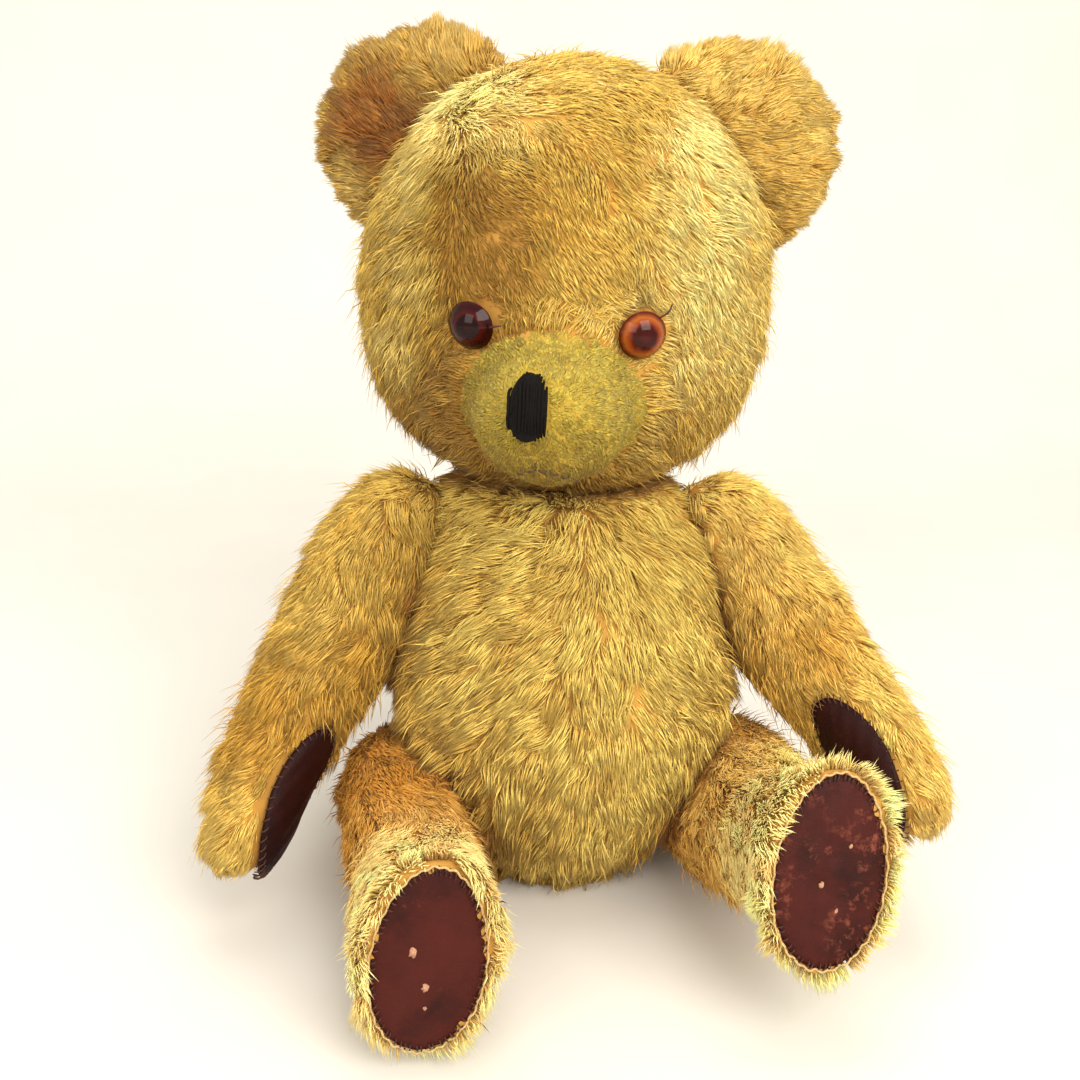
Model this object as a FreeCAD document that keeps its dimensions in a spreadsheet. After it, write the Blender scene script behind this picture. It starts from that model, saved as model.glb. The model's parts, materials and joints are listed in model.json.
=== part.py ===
import FreeCAD, Part
import math
import os

os.makedirs("parts", exist_ok=True)
doc = FreeCAD.newDocument("jointed_bear")
V = FreeCAD.Vector
Rot = FreeCAD.Rotation
Pl = FreeCAD.Placement

# ---------------------------------------------------------------------------
# Driving dimensions, mm and degrees.
# Row frame: the bear sits facing -Y, its own left is +X, the floor is z = 0
# and the origin is on the flat of the seat.
# ---------------------------------------------------------------------------
dims = doc.addObject("Spreadsheet::Sheet", "Dims")
_row = [0]
VAL = {}


def dim(alias, value):
    _row[0] += 1
    cell = "B%d" % _row[0]
    dims.set("A%d" % _row[0], alias)
    dims.set(cell, repr(float(value)))
    dims.setAlias(cell, alias)
    VAL[alias] = float(value)
    return float(value)


LEAN = dim("torso_lean", 20.0)            # the sitting torso leans back
COVER = dim("cover_thick", 3.0)           # backing cloth and the packed root of the pile
FILLGAP = dim("filling_gap", 1.0)         # stuffing is drawn this far inside the cover
RUNGAP = dim("running_gap", 1.0)          # between two covers at a joint
PAD = dim("leather_thick", 2.0)
CARD = dim("card_thick", 1.5)
PIN = dim("pin_radius", 2.0)
PINHOLE = dim("pin_hole_radius", 2.06)
DISC = dim("disc_thick", 2.5)
DISC_LIMB = dim("disc_radius_limb", 16.0)
DISC_BODY = dim("disc_radius_body", 16.5)
DISC_NECK = dim("disc_radius_neck", 24.0)
WASHER = dim("washer_radius", 8.0)
WASHER_T = dim("washer_thick", 1.0)
CLEAR = dim("stack_clear", 0.1)
EYE_R = dim("eye_radius", 7.8)
EYE_H = dim("eye_height", 5.6)
EYE_STEM = dim("eye_stem_radius", 2.2)
PUPIL = dim("pupil_radius", 3.4)
HIP_X = dim("hip_offset", 46.0)
HIP_Z = dim("hip_height", 40.5)
HIP_TILT = dim("hip_tilt", 27.0)
SHO_X = dim("shoulder_offset", 54.0)
SHO_Z = dim("shoulder_height", 125.0)
SHO_TILT = dim("shoulder_tilt", 14.0)
NECK_Y = dim("neck_back", 14.0)
NECK_Z = dim("neck_height", 162.0)
HEAD_YAW = dim("head_yaw", -11.0)
ARM_SWING = {"left": dim("arm_swing_left", 28.0), "right": dim("arm_swing_right", 15.0)}
LEG_SWING = {"left": dim("leg_drop_left", 2.0), "right": dim("leg_drop_right", 16.0)}
FOOT_TWIST = {"left": dim("foot_twist_left", 20.0), "right": dim("foot_twist_right", 30.0)}

# Sections: station along the piece, half width, half thickness, two centre offsets.
SECTIONS = {
    # station = height in the torso frame; offsets: depth, (unused)
    "torso": [(-4, 9, 8, 8, 0), (0, 21, 20, 7, 0), (7, 33, 32, 6, 0), (18, 44.5, 42, 4, 0),
              (36, 57, 51.5, 1, 0), (60, 66.5, 57.5, -1, 0), (85, 66, 57.5, -1, 0),
              (108, 63, 54, 0, 0), (130, 59, 48, 3, 0), (148, 52, 40.5, 8, 0),
              (162, 42, 33, 13, 0), (173, 29, 23, 18, 0), (178, 18, 13, 20, 0)],
    # station = height above the neck face, head frame
    "head": [(1, 40, 36, 1, 0), (9, 52, 47, 0, 0), (22, 65, 58, -1, 0), (42, 75.5, 66.5, -2, 0),
             (66, 79.5, 70.5, -2, 0), (92, 78.5, 70, 0, 0), (116, 70.5, 65, 2, 0),
             (136, 56.5, 54, 3, 0), (150, 39.5, 39, 4, 0), (158, 23, 23, 4, 0), (161.5, 9, 9, 4, 0)],
    # station = distance forward of the neck axis
    "muzzle": [(48, 31.5, 26.5, 0, 0), (66, 31, 26.2, 0, 0), (80, 29.5, 25.5, 0, 0),
               (92, 26, 22.8, 0, 0), (100, 20.5, 18, 0, 0), (105, 12.5, 11, 0, 0),
               (106.6, 6, 5.3, 0, 0)],
    # station = distance from the shoulder joint; offsets: forward, off the joint face
    "arm": [(-33, 8.5, 7.5, 0, 14), (-29, 17.5, 13.5, 0, 14.5), (-18, 26.5, 20, 0, 15.5), (0, 30, 25, 0, 18.5),
            (25, 30.5, 25.6, -1.5, 23.0), (50, 29.5, 24, -2.5, 29.2), (75, 27, 21, -0.5, 35.4),
            (98, 24.5, 17.8, 3, 40.0), (115, 21, 15.8, 6, 41.2), (127, 14.5, 11.4, 8, 41.3),
            (132, 7, 6.4, 9, 40.9)],
    # station = distance from the hip joint; offsets: towards the toe, off the joint face
    "leg": [(-32, 9, 8, 0, 14), (-28, 17, 14, 0, 14.5), (-18, 25, 20.5, 0, 16.5), (0, 31, 25.5, 0, 18.5),
            (25, 32, 23.6, 0, 20.3), (48, 30.2, 22.3, 0, 22.4), (68, 28.8, 22.2, 1, 24.7),
            (86, 30.8, 22.8, 2.5, 26.3), (98, 34.0, 22.6, 3, 27), (106, 34.6, 22.6, 3, 27),
            (110.5, 33.6, 21.9, 3, 27)],
}
SHORT = {"torso": "torso", "head": "head", "muzzle": "muzzle", "arm": "arm", "leg": "leg"}
for kind, rows in SECTIONS.items():
    for i, (s, w, th, c1, c2) in enumerate(rows):
        dim("%s_station_%02d" % (kind, i), s)
        dim("%s_half_width_%02d" % (kind, i), w)
        dim("%s_half_thick_%02d" % (kind, i), th)
        dim("%s_shift_a_%02d" % (kind, i), c1)
        dim("%s_shift_b_%02d" % (kind, i), c2)
doc.recompute()

# ---------------------------------------------------------------------------
# Frames
# ---------------------------------------------------------------------------
TORSO = Pl(V(0, 0, 0), Rot(V(1, 0, 0), -LEAN))


def frame(origin, z_axis, x_axis):
    """Right-handed frame with the joint axis as z and the limb direction as x."""
    z = V(z_axis).normalize()
    x = V(x_axis)
    x = (x - z * x.dot(z)).normalize()
    y = z.cross(x)
    return Pl(origin, Rot(x, y, z, "ZXY"))


def arm_frame(side):
    k = 1 if side == "left" else -1
    a = math.radians(SHO_TILT)
    out = V(k * math.cos(a), 0, math.sin(a))
    down = V(k * math.sin(a), 0, -math.cos(a))
    sw = math.radians(ARM_SWING[side])
    along = down * math.cos(sw) + V(0, -1, 0) * math.sin(sw)
    return frame(V(k * SHO_X, 0, SHO_Z), out, along)


def leg_frame(side):
    k = 1 if side == "left" else -1
    a = math.radians(HIP_TILT)
    out = V(k * math.cos(a), 0, -math.sin(a))
    down = V(-k * math.sin(a), 0, -math.cos(a))
    sw = math.radians(LEG_SWING[side])
    along = V(0, -1, 0) * math.cos(sw) + down * math.sin(sw)
    return frame(V(k * HIP_X, 0, HIP_Z), out, along)


NECK_T = Pl(V(0, NECK_Y, NECK_Z), Rot(V(1, 0, 0), LEAN))
HEAD_LOCAL = Pl(V(0, 0, 0), Rot(V(0, 0, 1), HEAD_YAW))
LOCAL = {"neck": NECK_T}
for side in ("left", "right"):
    LOCAL["shoulder_" + side] = arm_frame(side)
    LOCAL["hip_" + side] = leg_frame(side)
WORLD = {k: TORSO.multiply(p) for k, p in LOCAL.items()}
HEAD = WORLD["neck"].multiply(HEAD_LOCAL)


# ---------------------------------------------------------------------------
# Building blocks
# ---------------------------------------------------------------------------
_n = [0]


def add(type_name, stem):
    _n[0] += 1
    return doc.addObject(type_name, "%s_%03d" % (stem, _n[0]))


def bind(obj, **exprs):
    for prop, e in exprs.items():
        obj.setExpression(prop.replace("__", "."), e)


def box(size, at, rot=None, stem="Slab"):
    b = add("Part::Box", stem)
    b.Length, b.Width, b.Height = size
    b.Placement = Pl(V(*at), rot or Rot())
    return b


def cylinder(radius, height, placement=None, stem="Rod"):
    c = add("Part::Cylinder", stem)
    if isinstance(radius, str):
        bind(c, Radius=radius)
    else:
        c.Radius = radius
    if isinstance(height, str):
        bind(c, Height=height)
    else:
        c.Height = height
    c.Placement = placement or Pl()
    return c


def cut(a, b, stem="Cut"):
    c = add("Part::Cut", stem)
    c.Base, c.Tool = a, b
    c.Refine = False
    return c


def common(a, b, stem="Common"):
    c = add("Part::MultiCommon", stem)
    c.Shapes = [a, b]
    c.Refine = False
    return c


def fuse(parts, stem="Fuse"):
    c = add("Part::MultiFuse", stem)
    c.Shapes = parts
    c.Refine = False
    return c


def loft(kind, inset, sign=1, twist=0.0, stem=None):
    """Solid through the ellipse sections of one soft piece, every surface moved in by inset.

    torso and head run along z, the muzzle along -y, arms and legs along x.
    """
    rows = SECTIONS[kind]
    first, last = rows[0][0], rows[-1][0]
    mid = (first + last) / 2.0
    k = "(1 - 2*(%s)/%s)" % (inset, last - first)
    sections = []
    for i, row in enumerate(rows):
        e = add("Part::Ellipse", "%s_section" % kind)
        p = "Dims.%s_" % kind
        # on the widest first section of a cut-open piece the inset is the plain one
        bind(e, MajorRadius="%shalf_width_%02d - (%s)" % (p, i, inset),
             MinorRadius="%shalf_thick_%02d - (%s)" % (p, i, inset))
        station = "(%sstation_%02d - %s)*%s + %s" % (p, i, mid, k, mid)
        a, b = "%sshift_a_%02d" % (p, i), "%sshift_b_%02d" % (p, i)
        if kind in ("torso", "head"):
            bind(e, Placement__Base__y=a, Placement__Base__z=station)
        elif kind == "muzzle":
            e.Placement = Pl(V(), Rot(V(1, 0, 0), 90))
            bind(e, Placement__Base__y="-(%s)" % station, Placement__Base__z="Dims.muzzle_height")
        else:
            # twist grows along the last third of the leg
            f = 0.0
            if twist:
                f = min(max((row[0] - 36.0) / 56.0, 0.0), 1.0)
                f = f * f * (3 - 2 * f)
            e.Placement = Pl(V(), Rot(V(1, 0, 0), twist * f).multiply(Rot(V(0, 1, 0), V(0, 0, 1), V(1, 0, 0), "ZXY")))
            bind(e, Placement__Base__x=station, Placement__Base__y="%d*%s" % (sign, a), Placement__Base__z=b)
        sections.append(e)
    lo = add("Part::Loft", stem or ("%s_loft" % kind))
    lo.Sections = sections
    lo.Solid = True
    lo.Ruled = False
    return lo


dim("muzzle_height", 41.5)
doc.recompute()

NODES = {}


def node(label, obj, placement=None):
    """Finish one sub-part: its label names its file."""
    if placement is not None:
        obj.Placement = placement
    obj.Label = label
    NODES[label] = obj
    return obj


def sketch_disc(label, radius, hole, thick, placement):
    """A stamped disc: sketched ring, padded."""
    body = doc.addObject("PartDesign::Body", label + "_body")
    sk = body.newObject("Sketcher::SketchObject", label + "_outline")
    plane = [o for o in body.Origin.OriginFeatures if o.Role == "XY_Plane"][0]
    sk.AttachmentSupport = (plane, [""])
    sk.MapMode = "FlatFace"
    import Sketcher
    sk.addGeometry(Part.Circle(V(0, 0, 0), V(0, 0, 1), 10.0), False)
    sk.addConstraint(Sketcher.Constraint("Coincident", 0, 3, -1, 1))
    r0 = sk.addConstraint(Sketcher.Constraint("Radius", 0, 10.0))
    sk.setExpression("Constraints[%d]" % r0, radius)
    if hole:
        sk.addGeometry(Part.Circle(V(0, 0, 0), V(0, 0, 1), 2.0), False)
        sk.addConstraint(Sketcher.Constraint("Coincident", 1, 3, -1, 1))
        r1 = sk.addConstraint(Sketcher.Constraint("Radius", 1, 2.0))
        sk.setExpression("Constraints[%d]" % r1, hole)
    pad = body.newObject("PartDesign::Pad", label + "_pad")
    pad.Profile = sk
    pad.setExpression("Length", thick)
    body.Placement = placement
    return node(label, body)


def at(frame_, z, x=0.0, y=0.0, rot=None):
    return frame_.multiply(Pl(V(x, y, z), rot or Rot()))


def pin(label, frame_):
    """Cotter pin: an eye at the limb end, a shank, and two ends rolled back on the torso side."""
    shank = cylinder("Dims.pin_radius", 17.6, Pl(V(0, 0, -8.6), Rot()), "Shank")
    eye = add("Part::Torus", "PinEye")
    eye.Radius1, eye.Radius2 = 3.4, 1.3
    eye.Placement = Pl(V(0, 0, 12.8), Rot(V(1, 0, 0), 90))
    rolls = []
    for k in (1, -1):
        roll = add("Part::Torus", "PinRoll")
        roll.Radius1, roll.Radius2 = 3.0, 0.95
        roll.Angle3 = 165.0
        # the sweep starts on the axis side, runs down and curls outwards
        base = Pl(V(k * 4.0, 0, -8.55), Rot(V(0, 0, 1), 0 if k == 1 else 180))
        roll.Placement = base.multiply(Pl(V(), Rot(V(1, 0, 0), 90))).multiply(Pl(V(), Rot(V(0, 0, 1), 180)))
        rolls.append(roll)
    body = fuse([shank, eye] + rolls, "Pin")
    return node(label, body, frame_)


# ---------------------------------------------------------------------------
# Torso: an egg cut flat at the four limb joints, the neck and the seat
# ---------------------------------------------------------------------------
JOINTS = ["shoulder_left", "shoulder_right", "hip_left", "hip_right", "neck"]


def torso_solid(inset, stem):
    body = loft("torso", str(inset), stem=stem + "_loft")
    for j in JOINTS:
        b = box((400, 400, 200), (0, 0, 0), stem=stem + "_face")
        b.Placement = LOCAL[j].multiply(Pl(V(-200, -200, -inset), Rot()))
        body = cut(body, b, stem)
    seat = box((400, 400, 200), (0, 0, 0), stem=stem + "_seat")
    seat.Placement = TORSO.inverse().multiply(Pl(V(-200, -200, -200 + inset), Rot()))
    return cut(body, seat, stem)


skin = torso_solid(0.0, "TorsoSkin")
hollow = torso_solid(COVER, "TorsoHollow")
filling = torso_solid(COVER + FILLGAP, "TorsoFilling")
shell = cut(skin, hollow, "TorsoShell")
for j in JOINTS:
    c = cylinder("Dims.pin_hole_radius", 40, None, "PinHole")
    c.Placement = LOCAL[j].multiply(Pl(V(0, 0, -20), Rot()))
    shell = cut(shell, c, "TorsoShell")
SIDE_SEAM = dim("side_seam_depth", 4.0)
for name, x0, y0 in (("torso_front_left", 0, -200 + SIDE_SEAM), ("torso_front_right", -200, -200 + SIDE_SEAM),
                     ("torso_back_left", 0, SIDE_SEAM), ("torso_back_right", -200, SIDE_SEAM)):
    q = box((200, 200, 400), (x0, y0, -100), stem="Quarter")
    node(name, common(shell, q, "TorsoPanel"), TORSO)

seam = box((1.6, 60, 78), (-0.8, 30, 62), stem="SeamStrip")
seam_skin = torso_solid(-0.7, "SeamSkin")
seam_inner = torso_solid(-0.05, "SeamInner")
node("back_seam_stitching", common(cut(seam_skin, seam_inner, "SeamShell"), seam, "BackSeam"), TORSO)

for j in JOINTS:
    r = (DISC_NECK if j == "neck" else DISC_BODY) + 0.4
    c = cylinder(r, 10.0, None, "DiscPocket")
    c.Placement = LOCAL[j].multiply(Pl(V(0, 0, -(COVER + 2 * CLEAR + DISC + WASHER_T + 0.3)), Rot()))
    filling = cut(filling, c, "TorsoFilling")
    c = cylinder(9.2, 10.0, None, "PinPocket")
    c.Placement = LOCAL[j].multiply(Pl(V(0, 0, -13.4), Rot()))
    filling = cut(filling, c, "TorsoFilling")
node("torso_stuffing", filling, TORSO)

names = {"shoulder_left": "shoulder_disc_torso_left", "shoulder_right": "shoulder_disc_torso_right",
         "hip_left": "hip_disc_torso_left", "hip_right": "hip_disc_torso_right", "neck": "neck_torso_disc"}
washers = []
for j in JOINTS:
    z = -(COVER + CLEAR + DISC)
    sketch_disc(names[j], "Dims.disc_radius_neck" if j == "neck" else "Dims.disc_radius_body",
                "Dims.pin_hole_radius", "Dims.disc_thick", at(WORLD[j], z))
    z -= CLEAR / 2 + WASHER_T
    w = cut(cylinder("Dims.washer_radius", "Dims.washer_thick", None, "WasherBlank"),
            cylinder("Dims.pin_hole_radius", 10, Pl(V(0, 0, -5), Rot()), "WasherHole"), "Washer")
    w.Placement = at(WORLD[j], z)
    washers.append(w)
group = add("Part::Compound", "TorsoWashers")
group.Links = washers
node("torso_joint_washers", group)


# ---------------------------------------------------------------------------
# Hardware on the limb side of a joint
# ---------------------------------------------------------------------------
def limb_hardware(frame_, disc, radius, pin_name, washer):
    z = RUNGAP + COVER + CLEAR
    sketch_disc(disc, radius, "Dims.pin_hole_radius", "Dims.disc_thick", at(frame_, z))
    z += DISC + CLEAR / 2
    w = cut(cylinder("Dims.washer_radius", "Dims.washer_thick", None, "WasherBlank"),
            cylinder("Dims.pin_hole_radius", 10, Pl(V(0, 0, -5), Rot()), "WasherHole"), "Washer")
    node(washer, w, at(frame_, z))
    pin(pin_name, frame_)


def limb_solid(kind, inset, sign, twist, stem):
    """The limb's own solid, flat where it meets the torso."""
    body = loft(kind, str(inset), sign, twist, stem + "_loft")
    flat = box((400, 400, 200), (-200, -200, -200 + RUNGAP + inset), stem=stem + "_flat")
    return cut(body, flat, stem)


def limb_filling(kind, sign, twist, disc_radius, end=None):
    f = limb_solid(kind, COVER + FILLGAP, sign, twist, kind + "_filling")
    f = cut(f, cylinder(disc_radius + 0.4, 8.0, Pl(V(0, 0, 0.2), Rot()), "DiscPocket"), "Filling")
    f = cut(f, cylinder(9.2, 18.2, Pl(V(0, 0, 0), Rot()), "PinPocket"), "Filling")
    if end is not None:
        f = cut(f, box((100, 200, 200), (end, -100, -100), stem="EndFlat"), "Filling")
    return f


def half_space(height, rise, way):
    """Slab on one side of the limb's side seam, which climbs away from the joint face."""
    b = box((500, 300, 150), (0, 0, 0), stem="SeamSide")
    b.Placement = Pl(V(0, 0, height), Rot(V(0, 1, 0), -rise)).multiply(Pl(V(-200, -150, 0 if way > 0 else -150), Rot()))
    return b


# ---------------------------------------------------------------------------
# Arms
# ---------------------------------------------------------------------------
PAW_LEN = dim("paw_pad_half_length", 27.0)
PAW_WID = dim("paw_pad_half_width", 14.5)
ARM_SEAM = dim("arm_seam_offset", 19.0)
ARM_SEAM_RISE = dim("arm_seam_rise", 8.5)
for side in ("left", "right"):
    sign = -1 if side == "left" else 1      # local y that points forward
    fr = WORLD["shoulder_" + side]
    skin = limb_solid("arm", 0.0, sign, 0, "ArmSkin")
    hollow = limb_solid("arm", COVER, sign, 0, "ArmHollow")
    shell = cut(skin, hollow, "ArmShell")
    shell = cut(shell, cylinder("Dims.pin_hole_radius", 20, Pl(V(0, 0, -5), Rot()), "PinHole"), "ArmShell")
    # paw pad: an oval on the inner front face of the paw
    oval = add("Part::Ellipse", "PawOval")
    bind(oval, MajorRadius="Dims.paw_pad_half_length", MinorRadius="Dims.paw_pad_half_width")
    look = V(-0.05, sign * 0.62, -0.78).normalize()
    xdir = V(1, 0, 0) - look * look.x
    turn = Rot(xdir, look.cross(xdir), look, "ZXY")
    oval.Placement = Pl(V(103, sign * 5.5, 39.9) + look * 4, turn)
    tool = add("Part::Extrusion", "PawCutter")
    tool.Base = oval
    tool.DirMode = "Custom"
    tool.Dir = look
    tool.LengthFwd = 60
    tool.Solid = True
    node("paw_pad_" + side, common(shell, tool, "PawPad"), fr)
    cover = cut(shell, tool, "ArmCover")
    node("arm_%s_inner" % side, common(cover, half_space(ARM_SEAM, ARM_SEAM_RISE, -1), "ArmPanel"), fr)
    node("arm_%s_outer" % side, common(cover, half_space(ARM_SEAM, ARM_SEAM_RISE, 1), "ArmPanel"), fr)
    node("arm_%s_stuffing" % side, limb_filling("arm", sign, 0, DISC_LIMB), fr)
    limb_hardware(fr, "arm_disc_" + side, "Dims.disc_radius_limb", "shoulder_pin_" + side, "arm_washer_" + side)

# ---------------------------------------------------------------------------
# Legs: the foot ends in a flat sole with a leathercloth pad over a card insole
# ---------------------------------------------------------------------------
SOLE_L = dim("sole_half_length", 31.5)
SOLE_W = dim("sole_half_width", 20.0)
LEG_SEAM = dim("leg_seam_offset", 20.0)
LEG_SEAM_RISE = dim("leg_seam_rise", 4.5)
SOLE_X = SECTIONS["leg"][-1][0]
for side in ("left", "right"):
    k = 1 if side == "left" else -1
    fr = WORLD["hip_" + side]
    # local y that points to the toe: up and forward of the leg
    yw = fr.Rotation.multVec(V(0, 1, 0))
    sign = 1 if yw.z > 0 else -1
    twist = -sign * FOOT_TWIST[side]
    skin = limb_solid("leg", 0.0, sign, twist, "LegSkin")
    hollow = limb_solid("leg", COVER, sign, twist, "LegHollow")
    shell = cut(skin, hollow, "LegShell")
    shell = cut(shell, cylinder("Dims.pin_hole_radius", 20, Pl(V(0, 0, -5), Rot()), "PinHole"), "LegShell")
    turn = Rot(V(1, 0, 0), twist).multiply(Rot(V(0, 1, 0), V(0, 0, 1), V(1, 0, 0), "ZXY"))

    def oval_plate(x0, x1, grow, stem):
        e = add("Part::Ellipse", stem + "_oval")
        bind(e, MajorRadius="Dims.sole_half_length + %s" % grow, MinorRadius="Dims.sole_half_width + %s" % grow)
        e.Placement = Pl(V(x0, sign * 3, 27), turn)
        t = add("Part::Extrusion", stem)
        t.Base = e
        t.DirMode = "Custom"
        t.Dir = V(1, 0, 0)
        t.LengthFwd = x1 - x0
        t.Solid = True
        return t

    mouth = oval_plate(SOLE_X - PAD - CARD - 0.4, SOLE_X + 6, 0.05, "SoleMouth")
    cover = cut(shell, mouth, "LegCover")
    node("leg_%s_inner" % side, common(cover, half_space(LEG_SEAM, LEG_SEAM_RISE, -1), "LegPanel"), fr)
    node("leg_%s_outer" % side, common(cover, half_space(LEG_SEAM, LEG_SEAM_RISE, 1), "LegPanel"), fr)
    node("sole_pad_" + side, oval_plate(SOLE_X - PAD, SOLE_X, 0.0, "SolePad"), fr)
    node("insole_" + side, oval_plate(SOLE_X - PAD - CARD - 0.1, SOLE_X - PAD - 0.1, -0.2, "Insole"), fr)
    node("leg_%s_stuffing" % side, limb_filling("leg", sign, twist, DISC_LIMB, SOLE_X - PAD - CARD - 0.5), fr)
    limb_hardware(fr, "leg_disc_" + side, "Dims.disc_radius_limb", "hip_pin_" + side, "leg_washer_" + side)

# ---------------------------------------------------------------------------
# Head
# ---------------------------------------------------------------------------
MUZ_COVER = dim("muzzle_cover_thick", 2.4)
head_skin = loft("head", "0")
head_hollow = loft("head", repr(COVER))
head_fill = loft("head", repr(COVER + FILLGAP))
muz_skin = loft("muzzle", "0")
muz_hollow = loft("muzzle", repr(MUZ_COVER))
muz_fill = loft("muzzle", repr(MUZ_COVER + FILLGAP))

shell = cut(head_skin, head_hollow, "HeadShell")
shell = cut(shell, muz_skin, "HeadShell")
shell = cut(shell, cylinder("Dims.pin_hole_radius", 20, Pl(V(0, 0, -8), Rot()), "PinHole"), "HeadShell")

# eyes stand on the cover where the outward normal meets it
EYE_X = dim("eye_spacing_half", 29.0)
EYE_Z = dim("eye_level", 69.5)
eye_frames = {}
for side in ("left", "right"):
    k = 1 if side == "left" else -1
    # head half axes near the eye level
    rx, ry, cy, rz, cz = 79.6, 70.6, -2.0, 80.0, 83.0
    y = cy - ry * math.sqrt(1 - (EYE_X / rx) ** 2)
    normal = V(k * EYE_X / rx ** 2, (y - cy) / ry ** 2, (EYE_Z - cz) / rz ** 2).normalize()
    xd = V(normal.y * -1, normal.x, 0).normalize()
    eye_frames[side] = Pl(V(k * EYE_X, y, EYE_Z) + normal * 0.45, Rot(xd, normal.cross(xd), normal, "ZXY"))
    h = cylinder(EYE_STEM + 0.06, 20, None, "StemHole")
    h.Placement = eye_frames[side].multiply(Pl(V(0, 0, -12), Rot()))
    shell = cut(shell, h, "HeadShell")
    # the pile is pressed flat under the eye's flat back
    seat = cylinder(8.1, 8, None, "EyeSeat")
    seat.Placement = eye_frames[side].multiply(Pl(V(0, 0, -0.06), Rot()))
    shell = cut(shell, seat, "HeadShell")


def prism(points, y0, y1, stem):
    """Slab with the given outline in the front view, between two depths."""
    pts = [V(x, y0, z) for x, z in points]
    poly = add("Part::Polygon", stem + "_outline")
    poly.Nodes = pts
    poly.Close = True
    ex = add("Part::Extrusion", stem)
    ex.Base = poly
    ex.DirMode = "Custom"
    ex.Dir = V(0, 1, 0)
    ex.LengthFwd = y1 - y0
    ex.Solid = True
    return ex


G0 = dim("gusset_half_at_muzzle", 19.0)
G1 = dim("gusset_half_at_brow", 36.0)
G2 = dim("gusset_half_at_crown", 40.0)
G3 = dim("gusset_half_at_nape", 14.0)
front_strip = prism([(-G0, 58), (G0, 58), (G1, 105), (G2, 175), (-G2, 175), (-G1, 105)], -130, 0, "GussetFront")
back_strip = prism([(-G3, -5), (G3, -5), (G1 * 0.9, 105), (G2, 175), (-G2, 175), (-G1 * 0.9, 105)], 0, 130, "GussetBack")
strip = fuse([front_strip, back_strip], "GussetRegion")
node("head_gusset", common(shell, strip, "HeadPanel"), HEAD)
sides_shell = cut(shell, strip, "HeadSides")
node("head_side_left", common(sides_shell, box((200, 400, 300), (0, -200, -50), stem="LeftHalf"), "HeadPanel"), HEAD)
node("head_side_right", common(sides_shell, box((200, 400, 300), (-200, -200, -50), stem="RightHalf"), "HeadPanel"), HEAD)
muzzle_shell = cut(cut(muz_skin, muz_hollow, "MuzzleShell"), head_hollow, "MuzzleShell")
node("muzzle", muzzle_shell, HEAD)

# nose and mouth embroidery lie on the muzzle cover
NOSE_X = dim("nose_offset", -6.0)
NOSE_Z = dim("nose_level", 50.5)
NOSE_W = dim("nose_half_width", 6.2)
NOSE_H = dim("nose_half_height", 10.2)
nose_skin = loft("muzzle", "-1.7")
nose_base = loft("muzzle", "-0.1")
oval = add("Part::Ellipse", "NoseOval")
bind(oval, MajorRadius="Dims.nose_half_height", MinorRadius="Dims.nose_half_width")
oval.Placement = Pl(V(NOSE_X, -130, NOSE_Z), Rot(V(0, 0, 1), V(1, 0, 0), V(0, 1, 0), "ZXY"))
tool = add("Part::Extrusion", "NoseCutter")
tool.Base = oval
tool.DirMode = "Custom"
tool.Dir = V(0, 1, 0)
tool.LengthFwd = 60
tool.Solid = True
node("nose_stitching", common(cut(nose_skin, nose_base, "NoseShell"), tool, "Nose"), HEAD)
mouth_skin = loft("muzzle", "-0.9")
mouth_box = box((18, 60, 1.3), (-8, -130, 29.0), Rot(V(0, 1, 0), 4), stem="MouthStrip")
node("mouth_stitching", common(cut(mouth_skin, nose_base, "MouthShell"), mouth_box, "Mouth"), HEAD)

# stuffing
filling = fuse([head_fill, muz_fill], "HeadFilling")
filling = cut(filling, cylinder(DISC_NECK + 0.4, 8.0, Pl(V(0, 0, 0.2), Rot()), "DiscPocket"), "HeadFilling")
filling = cut(filling, cylinder(9.2, 18.2, Pl(V(0, 0, 0), Rot()), "PinPocket"), "HeadFilling")
for side in ("left", "right"):
    c = cylinder(8.0, 30, None, "EyePocket")
    c.Placement = eye_frames[side].multiply(Pl(V(0, 0, -15.5), Rot()))
    filling = cut(filling, c, "HeadFilling")
node("head_stuffing", filling, HEAD)

# eyes
pupils, locks = [], []
R = (EYE_R ** 2 + EYE_H ** 2) / (2 * EYE_H)
for side in ("left", "right"):
    fr = HEAD.multiply(eye_frames[side])

    def dome(stem):
        s = add("Part::Sphere", stem + "_ball")
        bind(s, Radius="(Dims.eye_radius^2 + Dims.eye_height^2)/(2*Dims.eye_height)")
        s.Placement = Pl(V(0, 0, EYE_H - R), Rot())
        return common(s, box((40, 40, 20), (-20, -20, 0), stem=stem + "_half"), stem)

    lens = fuse([dome("EyeDome"), cylinder("Dims.eye_stem_radius", 13.2, Pl(V(0, 0, -13), Rot()), "EyeStem")], "EyeBlank")
    lens = cut(lens, cylinder(PUPIL + 0.02, 10, Pl(V(0, 0, 3.58), Rot()), "PupilRecess"), "Eye")
    node("eye_" + side, lens, fr)
    p = common(dome("PupilDome"), cylinder("Dims.pupil_radius", 10, Pl(V(0, 0, 3.6), Rot()), "PupilCore"), "Pupil")
    p.Placement = fr
    pupils.append(p)
    lw = cut(cylinder(7.0, 1.2, None, "LockBlank"), cylinder(EYE_STEM + 0.03, 10, Pl(V(0, 0, -5), Rot()), "LockHole"), "LockWasher")
    lw.Placement = at(fr, -6.6)
    locks.append(lw)
for label, items in (("eye_pupils", pupils), ("eye_lock_washers", locks)):
    g = add("Part::Compound", label + "_group")
    g.Links = items
    node(label, g)

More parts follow.
